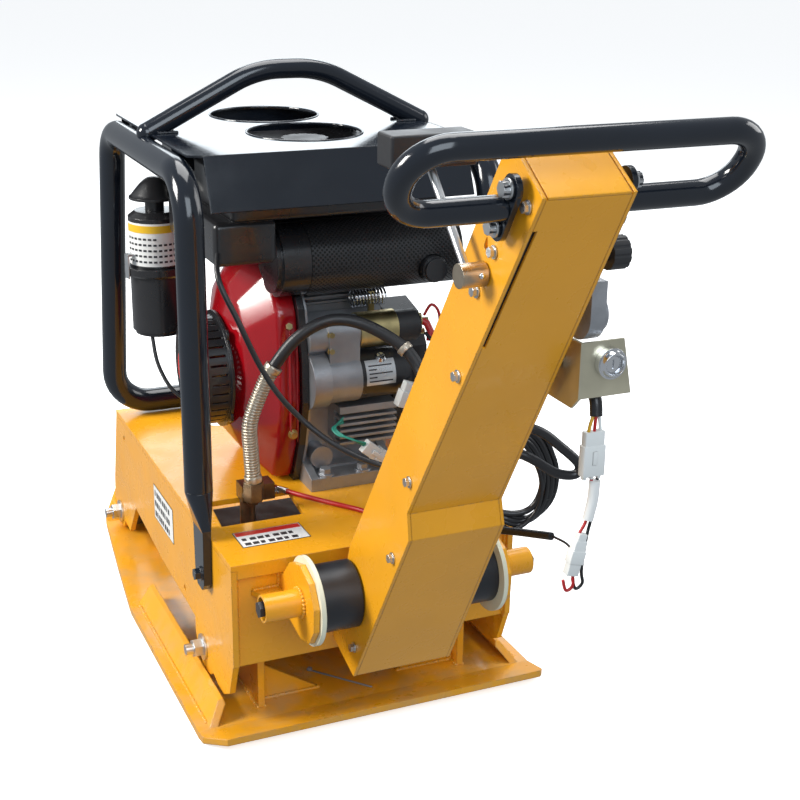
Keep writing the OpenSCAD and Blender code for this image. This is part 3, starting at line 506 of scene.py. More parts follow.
# two pressed stiffening ribs run up the rear face
for rib_x in (-0.050, -0.040):
    made = bmesh.ops.create_uvsphere(bm, u_segments=16, v_segments=12, radius=1.0)["verts"]
    bmesh.ops.scale(bm, vec=(0.0022, 0.0035, 0.085), verts=made)
    bmesh.ops.translate(bm, vec=(rib_x, -0.1375, 0.415), verts=made)
shell = piece_from(bm, "blower_shell", "machine", "red_paint", engine_red, angle=35.0)
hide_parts("blower_housing")
dress(satin_black, "shroud_plate")
bm = bmesh.new()
lifted(bm, outline_face(bm, rim_outline, -0.0245, 1.035), (0.0045, 0, 0), 1.0)
bmesh.ops.holes_fill(bm, edges=[e for e in bm.edges if e.is_boundary], sides=0)
piece_from(bm, "gasket_plate", "machine", "cast_grey", raw_casting, smooth=False)


def hex_bolt(bm, place, size, tall, washer=1.35):
    """A hexagon head with a round washer under it, standing along place's own z."""
    disc(bm, place @ Matrix.Translation((0, 0, tall * 0.125)), size * washer, tall * 0.25, 24)
    bmesh.ops.create_cone(bm, cap_ends=True, cap_tris=False, segments=6, radius1=size,
                          radius2=size * 0.94, depth=tall,
                          matrix=place @ Matrix.Translation((0, 0, tall * 0.6)))


yellow_zinc = finish("yellow_zinc", (0.52, 0.43, 0.21), 0.32, metal=1.0, spread=0.22, patch=45.0,
                     bump=0.05, edge=0.0008)
bm = bmesh.new()
for y, z, lean in ((-0.122, 0.500, 20.0), (-0.098, 0.292, -25.0), (-0.1375, 0.345, 0.0),
                   (-0.060, 0.589, 60.0)):
    turned = Matrix.Rotation(radians(90.0 - lean), 4, "X")
    hex_bolt(bm, Matrix.Translation((-0.047, y, z)) @ turned, 0.0055, 0.006)
piece_from(bm, "housing_bolts", "machine", "zinc_yellow", yellow_zinc, smooth=False)

# ---- Recoil starter ----
# A black louvred cup of pressed steel is bolted over the fan. Its hub carries a plain red and
# white ring sticker.
dress(satin_black, "recoil_starter")
bm = bmesh.new()
for radius, index in ((0.028, 0), (0.036, 1)):
    rim = bmesh.ops.create_circle(bm, segments=48, radius=radius, cap_ends=True)["verts"]
    place = Matrix.Translation((-0.1682 - 0.0002 * (1 - index), *CRANK.yz))
    bmesh.ops.transform(bm, matrix=place @ Matrix.Rotation(-pi / 2, 4, "Y"), verts=rim)
    for face in {f for v in rim for f in v.link_faces}:
        face.material_index = index
bmesh.ops.solidify(bm, geom=bm.faces[:], thickness=0.0003)
piece_from(bm, "hub_sticker", "machine", "red_paint", label_white, label_red, smooth=False)

# ---- Belt drive ----
# A steel pulley on the crank drives the exciter by one rubber V-belt. A black sheet guard with
# slots is screwed over it.
drive_rubber = finish("drive_rubber", (0.012, 0.012, 0.014), 0.42, spread=0.2, bump=0.20,
                      grain=520.0)
dress(turned_steel, "crank_pulley")
dress(drive_rubber, "drive_belt")
dress(satin_black, "belt_guard")

# ---- Starter motor ----
# An electric starter with a cast nose, a black field case with a silver label, and a solenoid
# in yellow-passivated steel with a black cap and copper studs.
dress(raw_casting, "starter_nose")
dress(satin_black, "starter_motor")
dress(yellow_zinc, "starter_solenoid")
STARTER = Vector((0, -0.128, 0.420))
SOLENOID = Vector((0, -0.128, 0.486))


def wrapped_strip(bm, centre, radius, x0, x1, from_deg, to_deg, index, thick=0.0004):
    """A strip wrapped part of the way round a cylinder that lies across the machine.
    The angle is from straight back, rising."""
    steps = 14
    made = bmesh.ops.create_grid(bm, x_segments=1, y_segments=steps, size=0.5)["verts"]
    for v in made:
        turn = radians(from_deg + (to_deg - from_deg) * (v.co.y + 0.5))
        across = x0 + (x1 - x0) * (v.co.x + 0.5)
        v.co = (across, centre.y - radius * cos(turn), centre.z + radius * sin(turn))
    faces = list({f for v in made for f in v.link_faces})
    for face in faces:
        face.material_index = index
    bmesh.ops.recalc_face_normals(bm, faces=faces)
    bmesh.ops.solidify(bm, geom=faces, thickness=thick)


silver_label = finish("silver_label", (0.66, 0.67, 0.68), 0.30, metal=0.8, spread=0.05,
                      bump=0.02, edge=0.0001)
bm = bmesh.new()
wrapped_strip(bm, STARTER, 0.0363, 0.056, 0.101, -12, 48, 0)
for k in range(5):
    wrapped_strip(bm, STARTER, 0.0366, 0.060, 0.072 if k % 2 else 0.096, -4 + 9 * k, -1 + 9 * k, 1)
piece_from(bm, "starter_label", "machine", "steel", silver_label, label_ink)
bm = bmesh.new()
head_turn = Matrix.Translation((0.082, *(STARTER.yz + Vector((-0.0215, 0.0286))))) \
    @ Matrix.Rotation(radians(37.0), 4, "X")
bmesh.ops.create_cone(bm, cap_ends=True, segments=32, radius1=0.0085, radius2=0.0060, depth=0.005,
                      matrix=head_turn @ Matrix.Translation((0, 0, 0.002)))
for turn in (25.0, 115.0):
    slab(bm, (-0.0055, -0.0008, 0.0042), (0.0055, 0.0008, 0.0048), 1,
         head_turn @ Matrix.Rotation(radians(turn), 4, "Z"))
piece_from(bm, "field_screw", "machine", "chrome", bright_chrome, label_ink)
bm = bmesh.new()
for x0, x1, radius in ((0.1102, 0.1435, 0.0232), (0.1435, 0.1470, 0.0205)):
    middle = Matrix.Translation(((x0 + x1) / 2, *SOLENOID.yz))
    disc(bm, middle @ Matrix.Rotation(pi / 2, 4, "Y"), radius, x1 - x0)
piece_from(bm, "solenoid_cap", "machine", "black_plastic", black_plastic)
bm = bmesh.new()
for y, z in ((-0.012, 0.008), (0.012, 0.008), (0.0, -0.012)):
    along = Matrix.Translation((0.147, SOLENOID.y + y, SOLENOID.z + z)) \
        @ Matrix.Rotation(pi / 2, 4, "Y")
    hex_bolt(bm, along, 0.0062, 0.005)
for y, z in ((-0.020, 0.010), (0.004, -0.022)):
    hex_bolt(bm, Matrix.Translation((0.0075, SOLENOID.y - 0.0205, SOLENOID.z + y))
             @ Matrix.Rotation(pi / 2, 4, "X"), 0.0045, 0.005)
piece_from(bm, "terminal_nuts", "machine", "zinc_yellow", yellow_zinc, smooth=False)
red_sheath = finish("red_sheath", (0.45, 0.012, 0.014), 0.35, spread=0.08, bump=0.05)
black_sheath = finish("black_sheath", (0.012, 0.012, 0.014), 0.34, spread=0.15, bump=0.06)
tube("solenoid_boot", "machine", red_sheath,
     [(0.150, -0.140, 0.494), (0.157, -0.144, 0.490), (0.160, -0.150, 0.480),
      (0.158, -0.154, 0.466)], 0.0055)


def smooth_route(points, steps=8):
    """A smooth line through its points, with a few steps in each span."""
    p = [Vector(v) for v in points]
    last = len(p) - 1
    route = []
    for i in range(last):
        a, b, c, d = p[max(i - 1, 0)], p[i], p[i + 1], p[min(i + 2, last)]
        for k in range(steps):
            t = k / steps
            route.append(0.5 * (2 * b + (c - a) * t + (2 * a - 5 * b + 4 * c - d) * t * t
                                + (3 * b - a - 3 * c + d) * t * t * t))
    return route + [p[last]]


def wire(name, body, material, points, radius, around=6):
    """A tube along a smooth line through its points."""
    return tube(name, body, material, smooth_route(points), radius, around)


wire("battery_lead", "machine", red_sheath,
     [(0.156, -0.136, 0.500), (0.166, -0.140, 0.516), (0.176, -0.146, 0.500),
      (0.172, -0.150, 0.450), (0.150, -0.156, 0.400)], 0.0022)
wire("starter_lead", "machine", black_sheath,
     [(0.152, -0.150, 0.478), (0.160, -0.170, 0.460), (0.150, -0.184, 0.430),
      (0.120, -0.176, 0.404), (0.104, -0.168, 0.390)], 0.0026)

# ---- Regulator ----
# A finned aluminium rectifier is screwed to the crankcase, with green wires to a white nylon
# plug. The starter's lead ends in a second plug, which hangs beside it.
dress(raw_casting, "regulator")
white_nylon = finish("white_nylon", (0.72, 0.73, 0.71), 0.34, spread=0.05, bump=0.04, edge=0.0008)
green_wire = finish("green_wire", (0.030, 0.30, 0.22), 0.38, spread=0.08, bump=0.04)
for k in range(3):
    wire(f"regulator_wire_{k + 1}", "machine", green_wire,
         [(0.030, -0.138, 0.352 + 0.004 * k), (0.008 + 0.002 * k, -0.152, 0.352),
          (0.010 + 0.003 * k, -0.168, 0.346), (0.026, -0.178 - 0.002 * k, 0.342),
          (0.045, -0.184 - 0.002 * k, 0.330 + 0.003 * k)], 0.0015, 2)
bm = bmesh.new()
plug_turn = Matrix.Translation((0.060, -0.184, 0.318)) @ Matrix.Rotation(radians(40.0), 4, "Y")
slab(bm, (-0.021, -0.007, -0.010), (0.006, 0.007, 0.010), 0, plug_turn)
slab(bm, (0.003, -0.009, -0.012), (0.026, 0.009, 0.012), 0, plug_turn)
slab(bm, (-0.008, -0.0105, -0.0035), (0.012, -0.006, 0.0035), 0, plug_turn)
ease(bm, 0.0010)
piece_from(bm, "regulator_plug", "machine", "nylon", white_nylon)
bm = bmesh.new()
upper_turn = Matrix.Translation((0.108, -0.186, 0.402)) @ Matrix.Rotation(radians(-70.0), 4, "Y")
slab(bm, (-0.020, -0.007, -0.009), (0.018, 0.007, 0.009), 0, upper_turn)
slab(bm, (-0.020, -0.009, -0.011), (0.004, 0.009, 0.011), 0, upper_turn)
ease(bm, 0.0010)
piece_from(bm, "starter_plug", "machine", "nylon", white_nylon)
dress(yellow_zinc, "governor_lever")

# ---- Muffler ----
# A pressed silencer inside a round guard of perforated sheet, both in heat-proof black. The
# guard's holes are about 3 mm across in staggered rows. They are not cut: painted shade makes
# them near-black, for the dark space seen through them, and a bump dents each one.
dress(satin_black, "muffler_body")
MUFFLER = Vector((0, -0.105, 0.593))
GUARD_RADIUS = 0.052
HOLE_UNIT = 0.0042
mesh_sheet = finish("mesh_sheet", (0.018, 0.018, 0.020), 0.34, coat=0.2, spread=0.12, bump=0.05)
tree = mesh_sheet.node_tree
parts = tree.nodes.new("ShaderNodeSeparateXYZ")
tree.links.new(tree.nodes.new("ShaderNodeTexCoord").outputs["Object"], parts.inputs["Vector"])


def worked(operation, first, second):
    """One arithmetic node; each side is a socket or a number."""
    node = tree.nodes.new("ShaderNodeMath")
    node.operation = operation
    for socket, value in zip(node.inputs, (first, second)):
        if isinstance(value, bpy.types.NodeSocket):
            tree.links.new(value, socket)
        else:
            socket.default_value = value
    return node.outputs["Value"]


around = worked("ARCTAN2", worked("SUBTRACT", parts.outputs["Z"], MUFFLER.z),
                worked("SUBTRACT", parts.outputs["Y"], MUFFLER.y))
arc = worked("MULTIPLY", around, GUARD_RADIUS / HOLE_UNIT)
run = worked("MULTIPLY", parts.outputs["X"], 1 / HOLE_UNIT)
rows = tree.nodes.new("ShaderNodeCombineXYZ")
tree.links.new(worked("ADD", arc, run), rows.inputs["X"])
tree.links.new(worked("SUBTRACT", arc, run), rows.inputs["Y"])
holes = tree.nodes.new("ShaderNodeTexVoronoi")
holes.voronoi_dimensions = "2D"
holes.inputs["Scale"].default_value = 0.62
holes.inputs["Randomness"].default_value = 0.0
tree.links.new(rows.outputs["Vector"], holes.inputs["Vector"])
sharp = tree.nodes.new("ShaderNodeMapRange")
sharp.inputs["From Min"].default_value = 0.30
sharp.inputs["From Max"].default_value = 0.36
tree.links.new(holes.outputs["Distance"], sharp.inputs["Value"])
shader = tree.nodes["Principled BSDF"]
paint = shader.inputs["Base Color"].links[0].from_socket
# painted shade: the hole pattern is mixed to near-black, standing for the dark inside seen through
# the holes
painted_hole_shade = tree.nodes.new("ShaderNodeMix")
painted_hole_shade.data_type = "RGBA"
painted_hole_shade.inputs["A"].default_value = (0.001, 0.001, 0.001, 1.0)
tree.links.new(sharp.outputs["Result"], painted_hole_shade.inputs["Factor"])
tree.links.new(paint, painted_hole_shade.inputs["B"])
tree.links.new(painted_hole_shade.outputs["Result"], shader.inputs["Base Color"])
dull = worked("MULTIPLY", worked("SUBTRACT", 1.0, sharp.outputs["Result"]), 0.6)
tree.links.new(worked("ADD", dull, 0.34), shader.inputs["Roughness"])
dimple = tree.nodes.new("ShaderNodeBump")
dimple.inputs["Strength"].default_value = 0.8
dimple.inputs["Distance"].default_value = 0.001
tree.links.new(sharp.outputs["Result"], dimple.inputs["Height"])
tree.links.new(shader.inputs["Normal"].links[0].from_socket, dimple.inputs["Normal"])
tree.links.new(dimple.outputs["Normal"], shader.inputs["Normal"])
dress(mesh_sheet, "muffler_shield")

# ---- Air cleaner ----
# A black oil-bath cleaner: bowl, body with clips, and a domed rain cap. A white label with a
# yellow head is wrapped round the body, ruled in place of words.
dress(satin_black, "air_cleaner_bowl", "air_cleaner_body")
CLEANER = Vector((-0.169, 0.120, 0.0))
dress(black_plastic, "intake_elbow")


def revolved(bm, profile, centre):
    """A closed turned shape: a profile of (radius, height) points spun about an upright axis."""
    verts = [bm.verts.new((centre.x + r, centre.y, z)) for r, z in profile]
    edges = [bm.edges.new(pair) for pair in zip(verts, verts[1:])]
    bmesh.ops.spin(bm, geom=edges, cent=(centre.x, centre.y, 0), axis=(0, 0, 1),
                   angle=2 * pi, steps=64, use_merge=True, use_duplicate=False)
    bmesh.ops.remove_doubles(bm, verts=bm.verts, dist=1e-6)


bm = bmesh.new()
dome = [(0.0, 0.6774), (0.004, 0.6772), (0.009, 0.6760), (0.014, 0.6732), (0.020, 0.6680),
        (0.0270, 0.6600), (0.0325, 0.6530), (0.0350, 0.6497), (0.0370, 0.6490), (0.0372, 0.6470),
        (0.0370, 0.6455), (0.0150, 0.6455), (0.0, 0.6455)]
revolved(bm, dome, CLEANER)
rain_cap = piece_from(bm, "rain_cap", "machine", "black_engine", satin_black)
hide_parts("air_cleaner_cap")
label_yellow = finish("label_yellow", (0.80, 0.48, 0.02), 0.34, spread=0.04, bump=0.02, edge=0.0001)


def band_label(bm, centre, radius, low, high, from_deg, to_deg, index, thick=0.0004):
    """A strip wrapped round an upright cylinder; the angle is from straight back."""
    steps = max(2, int(abs(to_deg - from_deg) / 5))
    made = bmesh.ops.create_grid(bm, x_segments=steps, y_segments=1, size=0.5)["verts"]
    for v in made:
        turn = radians(from_deg + (to_deg - from_deg) * (v.co.x + 0.5))
        height = low + (high - low) * (v.co.y + 0.5)
        v.co = (centre.x + radius * sin(turn), centre.y - radius * cos(turn), height)
    faces = list({f for v in made for f in v.link_faces})
    for face in faces:
        face.material_index = index
    bmesh.ops.recalc_face_normals(bm, faces=faces)
    bmesh.ops.solidify(bm, geom=faces, thickness=thick)


bm = bmesh.new()
band_label(bm, CLEANER, 0.0403, 0.550, 0.614, -100, 60, 0)
band_label(bm, CLEANER, 0.0407, 0.600, 0.611, -92, 52, 1)
for k in range(5):
    for step in range(12 if k < 4 else 7):
        band_label(bm, CLEANER, 0.0407, 0.5555 + 0.0085 * k, 0.5585 + 0.0085 * k,
                   -86 + step * 11, -79 + step * 11, 2)
piece_from(bm, "cleaner_label", "machine", "nylon", label_white, label_yellow, label_ink)
bm = bmesh.new()
for turn in (70.0, 190.0, 285.0):
    spin = Matrix.Translation(CLEANER) @ Matrix.Rotation(radians(turn), 4, "Z")
    slab(bm, (-0.006, -0.0508, 0.530), (0.006, -0.0488, 0.566), 0, spin)
    slab(bm, (-0.006, -0.0508, 0.564), (0.006, -0.0395, 0.567), 0, spin)
ease(bm, 0.0006)
piece_from(bm, "cleaner_clips", "machine", "zinc", bright_zinc)
wire("drain_hose", "machine", black_sheath,
     [(-0.186, 0.100, 0.438), (-0.184, 0.080, 0.400), (-0.170, 0.050, 0.366),
      (-0.140, 0.030, 0.346), (-0.112, 0.020, 0.336)], 0.0030, 4)

# ---- Hydraulic hose ----
# The direction lever's rubber hose rises from an oiled steel fitting in the deck's slot, loops
# back and goes into the handle box. A wound wire guards it between two steel ferrules.
hose_rubber = finish("hose_rubber", (0.016, 0.016, 0.018), 0.40, spread=0.2, bump=0.20, grain=520.0)
guard_wire = finish("guard_wire", (0.55, 0.49, 0.40), 0.34, metal=0.85, spread=0.10, bump=0.03)
oiled_steel = finish("oiled_steel", (0.20, 0.155, 0.10), 0.30, metal=0.9, spread=0.30, patch=60.0,
                     bump=0.08, edge=0.0010)
dress(oiled_steel, "hose_fitting")
hose_points = [(-0.118, -0.170, 0.2954), (-0.121, -0.172, 0.340), (-0.122, -0.174, 0.385),
               (-0.104, -0.176, 0.434), (-0.090, -0.180, 0.462), (-0.062, -0.188, 0.500),
               (-0.028, -0.196, 0.523), (0.004, -0.206, 0.528), (0.038, -0.226, 0.518),
               (0.072, -0.258, 0.494), (0.086, -0.282, 0.465), (0.080, -0.316, 0.442),
               (0.052, -0.352, 0.434), (0.016, -0.396, 0.434), (0.002, -0.444, 0.434),
               (-0.002, -0.484, 0.438), (-0.004, -0.524, 0.446)]
hose_line = smooth_route(hose_points, 6)
hose = tube("hose", None, hose_rubber, hose_line, 0.0085, 8)
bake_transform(hose)
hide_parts("hydraulic_hose")
tube("hose_guard", "machine", guard_wire,
     coil_route(hose_line[:25], 0.0100, 0.0042, 12), 0.0014, 2)
tube("hose_sleeve", "machine", guard_wire, hose_line[:25], 0.0092, 6)
bm = bmesh.new()
for k, wide in ((24, 0.0125), (1, 0.0125), (54, 0.0108)):
    a, b = hose_line[k], hose_line[k + 1]
    turned = (b - a).to_track_quat("Z", "Y").to_matrix().to_4x4()
    disc(bm, Matrix.Translation(a) @ turned, wide, 0.009, 36)
ease(bm, 0.0010, 2, [e for e in bm.edges if e.calc_face_angle(0) > 1])
piece_from(bm, "hose_ferrules", "machine", "steel", guard_wire)

# ---- Cables from the engine to the handle ----
# A red earth cable, bolted to the deck by a crimped lug, and the black throttle cable from the
# engine. Both sag and go into the handle box.
ground_points = [(-0.070, -0.128, 0.262), (-0.046, -0.164, 0.261), (-0.016, -0.204, 0.2605),
                 (0.016, -0.246, 0.260), (0.028, -0.300, 0.266), (0.020, -0.352, 0.290),
                 (0.000, -0.420, 0.340), (-0.008, -0.468, 0.370)]
earth = wire("earth_cable", None, red_sheath, ground_points, 0.0034)
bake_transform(earth)
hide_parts("ground_cable")
bm = bmesh.new()
slab(bm, (-0.082, -0.136, 0.2565), (-0.066, -0.120, 0.2590))
hex_bolt(bm, Matrix.Translation((-0.074, -0.128, 0.2590)), 0.0060, 0.006)
crimp = Matrix.Translation((-0.064, -0.138, 0.2618)) @ Matrix.Rotation(radians(34.0), 4, "Z")
disc(bm, crimp @ Matrix.Rotation(pi / 2, 4, "X"), 0.0045, 0.016, 20)
piece_from(bm, "earth_lug", "machine", "zinc", bright_zinc, smooth=False)
throttle_points = [(-0.150, -0.150, 0.640), (-0.168, -0.196, 0.601), (-0.150, -0.222, 0.546),
                   (-0.127, -0.236, 0.488), (-0.104, -0.250, 0.446), (-0.076, -0.264, 0.412),
                   (-0.046, -0.288, 0.386), (-0.016, -0.316, 0.370), (0.014, -0.352, 0.364),
                   (0.020, -0.400, 0.372), (0.000, -0.446, 0.396), (-0.020, -0.484, 0.416),
                   (-0.024, -0.516, 0.432)]
throttle_cable = wire("throttle_line", None, black_sheath, throttle_points,
                      0.0038)
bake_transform(throttle_cable)
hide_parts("throttle_cable")

# ---- Handle box ----
# Two cut side plates and a folded rear cover are bolted round two cross tubes. The cover sits
# back from the left plate's edge, where a long slot takes the lever's link.
dress(deck_enamel, "side_plate_left", "side_plate_right", "rear_cover", "head_block")
dress(bright_zinc, "box_bolts")
# a rubber seal runs along the slot
bm = bmesh.new()
BOX_LEAN = radians(32.13)
seal = Matrix.Translation((0, -0.8295, 0.8158)) @ Matrix.Rotation(BOX_LEAN, 4, "X")
slab(bm, (-0.0492, 0.0036, -0.206), (-0.0385, 0.0050, -0.040), 0, seal)
piece_from(bm, "slot_seal", "handle", "rubber", clean_rubber, smooth=False)

# ---- Hand loop ----
# One bent tube in the same gloss black, which the operator holds. It is welded to oval flanges
# that are bolted to the box.
LOOP_X = 0.0035
LOOP_HALF = 0.1845
LOOP_LOW = Vector((0, -0.781, 0.799))
LOOP_LEAN = radians(36.0)
LOOP_TOP = LOOP_LOW + 0.084 * Vector((0, -sin(LOOP_LEAN), cos(LOOP_LEAN)))
FLANGE_X = 0.0646
loop_corners = [(-FLANGE_X, *LOOP_LOW.yz), (LOOP_X - LOOP_HALF, *LOOP_LOW.yz),
                (LOOP_X - LOOP_HALF, *LOOP_TOP.yz), (LOOP_X + LOOP_HALF, *LOOP_TOP.yz),
                (LOOP_X + LOOP_HALF, *LOOP_LOW.yz), (FLANGE_X, *LOOP_LOW.yz)]
loop_tube = tube("hand_loop_tube", "handle", gloss_black,
                 bent_route(loop_corners, [0.040] * 4), 0.013, 10)
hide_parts("handle_loop")
dress(gloss_black, "loop_flanges")
flange_bolts = bmesh.new()
for side in (-1, 1):
    for step in (-0.024, 0.024):
        place = Matrix.Translation((side * 0.0664, LOOP_LOW.y + step * sin(BOX_LEAN),
                                    LOOP_LOW.z - step * cos(BOX_LEAN)))
        hex_bolt(flange_bolts, place @ Matrix.Rotation(side * pi / 2, 4, "Y"), 0.0086, 0.0074, 1.2)
piece_from(flange_bolts, "flange_bolts", "handle", "zinc", bright_zinc, smooth=False)

# ---- Direction lever ----
# A turned steel hub in the left plate carries a plated rod with a moulded plastic grip, for
# forward and reverse. A pin holds the rod in the hub.
bronze_steel = finish("bronze_steel", (0.48, 0.40, 0.30), 0.30, metal=1.0, spread=0.14, patch=70.0,
                      bump=0.04, edge=0.0012)
dress(bronze_steel, "lever_hub")
dress(bright_zinc, "lever_rod")
dress(black_plastic, "lever_grip")
bm = bmesh.new()
bmesh.ops.create_uvsphere(bm, u_segments=20, v_segments=12, radius=0.0032,
                          matrix=Matrix.Translation((-0.062, -0.7385, 0.7235)))
piece_from(bm, "hub_pin", "direction_lever", "steel", bright_chrome)

# ---- Key switch, pump and throttle ----
# A chrome lock on a yellow-passivated steel bracket, a cast aluminium hand pump and a ribbed
# plastic throttle knob, each fixed to the right plate.
pale_zinc = finish("pale_zinc", (0.60, 0.56, 0.42), 0.34, metal=0.9, spread=0.18, patch=16.0,
                   bump=0.04, edge=0.0012)
dress(pale_zinc, "key_bracket")
dress(bright_chrome, "key_switch", "key_barrel")
bm = bmesh.new()
LOCK = Vector((0.099, 0, 0.612))
lip = [(0.0102, -0.7300), (0.0102, -0.7352), (0.0112, -0.7364), (0.0126, -0.7360),
       (0.0136, -0.7345), (0.0140, -0.7318), (0.0156, -0.7300)]
verts = [bm.verts.new((LOCK.x + out, y, LOCK.z)) for out, y in lip]
rim_edges = [bm.edges.new(pair) for pair in zip(verts, verts[1:] + verts[:1])]
bmesh.ops.spin(bm, geom=rim_edges, cent=LOCK, axis=(0, 1, 0), angle=2 * pi, steps=64,
               use_merge=True, use_duplicate=False)
piece_from(bm, "lock_lip", "handle", "chrome", bright_chrome)
dress(raw_casting, "hand_pump")
dress(black_plastic, "throttle_knob")

# ---- Wiring loom ----
# The key's lead drops in a black sleeve to a white three-pole connector, a sleeved pair and a
# fuse holder. The taped loom hangs in two loops at the right of the box.
tape_black = finish("tape_black", (0.014, 0.014, 0.016), 0.26, spread=0.2, bump=0.30, grain=140.0)
yellow_wire = finish("yellow_wire", (0.62, 0.34, 0.02), 0.36, spread=0.06, bump=0.04)
sleeve = wire("key_sleeve", "handle", tape_black,
              [(0.099, -0.696, 0.572), (0.099, -0.702, 0.560), (0.098, -0.706, 0.546)], 0.0070)
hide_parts("harness")
for k, sheath in enumerate((yellow_wire, red_sheath, white_nylon)):
    wire(f"key_wire_{k + 1}", "handle", sheath,
         [(0.098 + 0.003 * (k - 1), -0.706, 0.549), (0.096 + 0.006 * (k - 1), -0.708, 0.538),
          (0.0955 + 0.008 * (k - 1), -0.708, 0.524)], 0.0019, 3)
bm = bmesh.new()
slab(bm, (0.0835, -0.7120, 0.505), (0.1075, -0.7020, 0.530))
slab(bm, (0.0820, -0.7130, 0.478), (0.1090, -0.7010, 0.514))
slab(bm, (0.0925, -0.7145, 0.492), (0.0985, -0.7125, 0.508))
for x in (0.086, 0.095, 0.104):
    slab(bm, (x - 0.002, -0.7105, 0.474), (x + 0.002, -0.7040, 0.4785))
ease(bm, 0.0012)
piece_from(bm, "three_pole_plug", "handle", "nylon", white_nylon)
for k, (sheath, drop) in enumerate(((red_sheath, 0.088), (black_sheath, 0.100))):
    wire(f"lower_wire_{k + 1}", "handle", sheath,
         [(0.096 + 0.008 * k, -0.707, 0.478), (0.096 + 0.006 * k, -0.708, 0.452),
          (0.092 + 0.006 * k, -0.708, 0.425), (drop - 0.006, -0.708, 0.405),
          (drop - 0.010, -0.708, 0.372 - 0.006 * k), (drop - 0.008, -0.708, 0.349),
          (drop - 0.016, -0.707, 0.343), (drop - 0.020, -0.706, 0.356)], 0.0019, 3)
wire("wire_tag", "handle", label_white,
     [(0.100, -0.708, 0.472), (0.099, -0.708, 0.450), (0.094, -0.708, 0.426)], 0.0062, 4)
bm = bmesh.new()
fuse_turn = Matrix.Translation((0.081, -0.709, 0.386)) @ Matrix.Rotation(radians(14.0), 4, "Y")
slab(bm, (-0.0075, -0.0055, -0.024), (0.0075, 0.0055, 0.018), 0, fuse_turn)
slab(bm, (-0.0055, -0.0045, 0.012), (0.0055, 0.0045, 0.026), 0, fuse_turn)
slab(bm, (-0.0090, -0.0065, -0.010), (0.0090, 0.0065, 0.006), 0, fuse_turn)
ease(bm, 0.0012)
piece_from(bm, "fuse_holder", "handle", "nylon", white_nylon)
wire("fuse_lead", "handle", black_sheath,
     [(0.078, -0.706, 0.400), (0.088, -0.690, 0.392), (0.112, -0.650, 0.362),
      (0.126, -0.610, 0.350), (0.131, -0.572, 0.341)], 0.0015, 3)
loom_lines = {
    "loom_sleeve": (0.0050, [(0.131, -0.570, 0.340), (0.118, -0.520, 0.326),
                             (0.100, -0.470, 0.314), (0.075, -0.408, 0.311),
                             (0.048, -0.396, 0.308), (0.028, -0.404, 0.304),
                             (0.022, -0.440, 0.300)]),
    "loom_upper": (0.0062, [(0.018, -0.548, 0.468), (0.026, -0.514, 0.473),
                            (0.052, -0.502, 0.475), (0.080, -0.505, 0.474),
                            (0.132, -0.520, 0.460), (0.166, -0.522, 0.434),
                            (0.192, -0.524, 0.408), (0.188, -0.522, 0.394),
                            (0.162, -0.518, 0.399), (0.124, -0.512, 0.424),
                            (0.080, -0.490, 0.440), (0.056, -0.482, 0.440),
                            (0.032, -0.490, 0.440), (0.022, -0.532, 0.444)]),
    "loom_lower": (0.0052, [(0.024, -0.522, 0.418), (0.036, -0.482, 0.416),
                            (0.062, -0.463, 0.424), (0.090, -0.470, 0.438),
                            (0.150, -0.472, 0.436), (0.179, -0.470, 0.395),
                            (0.185, -0.470, 0.360), (0.175, -0.470, 0.331),
                            (0.150, -0.466, 0.314), (0.118, -0.456, 0.322),
                            (0.078, -0.412, 0.336), (0.052, -0.402, 0.340),
                            (0.032, -0.414, 0.350), (0.024, -0.470, 0.376)]),
    "loom_lower_inner": (0.0042, [(0.026, -0.522, 0.424), (0.038, -0.484, 0.422),
                                  (0.062, -0.466, 0.430), (0.090, -0.474, 0.444),
                                  (0.140, -0.476, 0.430), (0.166, -0.474, 0.395),
                                  (0.170, -0.474, 0.362), (0.160, -0.472, 0.336),
                                  (0.140, -0.466, 0.326), (0.112, -0.454, 0.330),
                                  (0.078, -0.414, 0.342), (0.052, -0.404, 0.346),
                                  (0.032, -0.416, 0.356), (0.024, -0.470, 0.382)])}
for k, (shift, radius) in enumerate(((0.008, 0.0036), (-0.007, 0.0034), (-0.017, 0.0030))):
    points = [(x + shift * (1 if x > 0.12 else 0.3), y - 0.003 * k, z + 0.4 * shift)
              for x, y, z in loom_lines["loom_lower"][1]]
    loom_lines[f"loom_strand_{k + 1}"] = (radius, points)
for name, (radius, points) in loom_lines.items():
    wire(name, "handle", tape_black, points, radius, 5)

# ---- Camera ----
# A long lens from behind the machine's left, at about the height of a person's chest, turned
# down a little and rolled by less than a degree.
forward = Vector((0.38264, 0.86198, -0.33253)).normalized()
right = forward.cross(Vector((0, 0, 1))).normalized()
above = right.cross(forward)
roll = radians(0.78)
across = cos(roll) * right + sin(roll) * above
upward = cos(roll) * above - sin(roll) * right
view = bpy.data.cameras.new("view")
view.lens = 64.17
view.sensor_width = 36.0
camera = bpy.data.objects.new("view", view)
turned = Matrix((across, upward, -forward)).transposed().to_4x4()
camera.matrix_world = Matrix.Translation((-0.6799, -1.9378, 1.0696)) @ turned
bpy.context.scene.collection.objects.link(camera)
bpy.context.scene.camera = camera

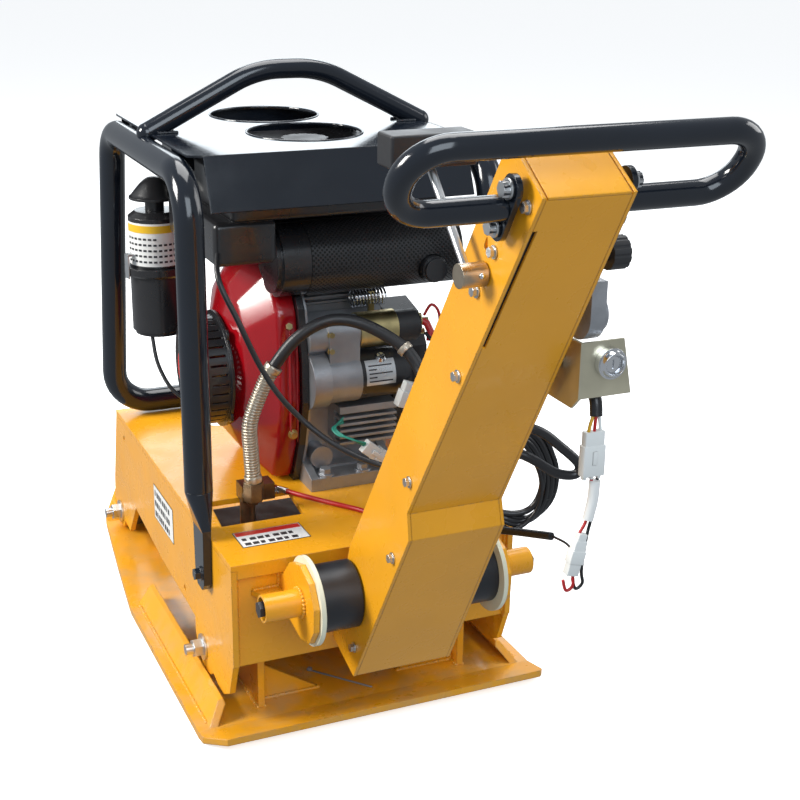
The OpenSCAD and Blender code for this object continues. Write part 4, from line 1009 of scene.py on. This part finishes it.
# ---- Floor and light ----
# A plain pale floor that glows a little, like a studio sweep lit from behind, but throws no
# colour on the machine. The key lamp is up to the left, a softer one is above, a cool one is
# behind the camera, and dim ones are at the front and the right.
floor_bm = bmesh.new()
bmesh.ops.create_grid(floor_bm, x_segments=1, y_segments=1, size=30.0)
floor_mesh = bpy.data.meshes.new("floor")
floor_bm.to_mesh(floor_mesh)
floor_bm.free()
floor = bpy.data.objects.new("floor", floor_mesh)
pale_floor = bpy.data.materials.new("pale_floor")
pale_floor.use_nodes = True
floor_shader = pale_floor.node_tree.nodes["Principled BSDF"]
floor_shader.inputs["Base Color"].default_value = (0.90, 0.90, 0.90, 1)
floor_shader.inputs["Roughness"].default_value = 0.9
floor_shader.inputs["Emission Color"].default_value = (1, 1, 1, 1)
floor_shader.inputs["Emission Strength"].default_value = 0.60
floor_mesh.materials.append(pale_floor)
bpy.context.scene.collection.objects.link(floor)
floor.visible_diffuse = False
floor.visible_glossy = False

room = bpy.data.worlds.new("white_room")
room.use_nodes = True
room.node_tree.nodes["Background"].inputs["Color"].default_value = (0.88, 0.94, 1.0, 1)
room.node_tree.nodes["Background"].inputs["Strength"].default_value = 0.40
bpy.context.scene.world = room


def soft_lamp(name, place, aim, size, power, colour=(1.0, 1.0, 1.0)):
    """A square lamp that faces aim."""
    lamp = bpy.data.lights.new(name, "AREA")
    lamp.size = size
    lamp.energy = power
    lamp.color = colour
    holder = bpy.data.objects.new(name, lamp)
    way = (Vector(aim) - Vector(place)).to_track_quat("-Z", "Y")
    holder.matrix_world = Matrix.Translation(place) @ way.to_matrix().to_4x4()
    bpy.context.scene.collection.objects.link(holder)


soft_lamp("key_lamp", (-2.9, 0.4, 2.2), (0, -0.1, 0.4), 1.2, 145.0, (1.0, 0.98, 0.94))
soft_lamp("top_lamp", (0.4, 0.6, 3.2), (0, 0, 0.5), 2.2, 75.0)
soft_lamp("camera_lamp", (-0.5, -3.6, 2.6), (0, -0.1, 0.4), 2.4, 80.0, (0.80, 0.90, 1.0))
soft_lamp("sky_lamp", (1.3, 3.4, 2.1), (0, 0, 0.7), 2.0, 30.0, (0.88, 0.95, 1.0))
soft_lamp("right_lamp", (3.0, -0.6, 1.8), (0, 0, 0.4), 1.6, 25.0)
bpy.context.scene.view_settings.view_transform = "Standard"
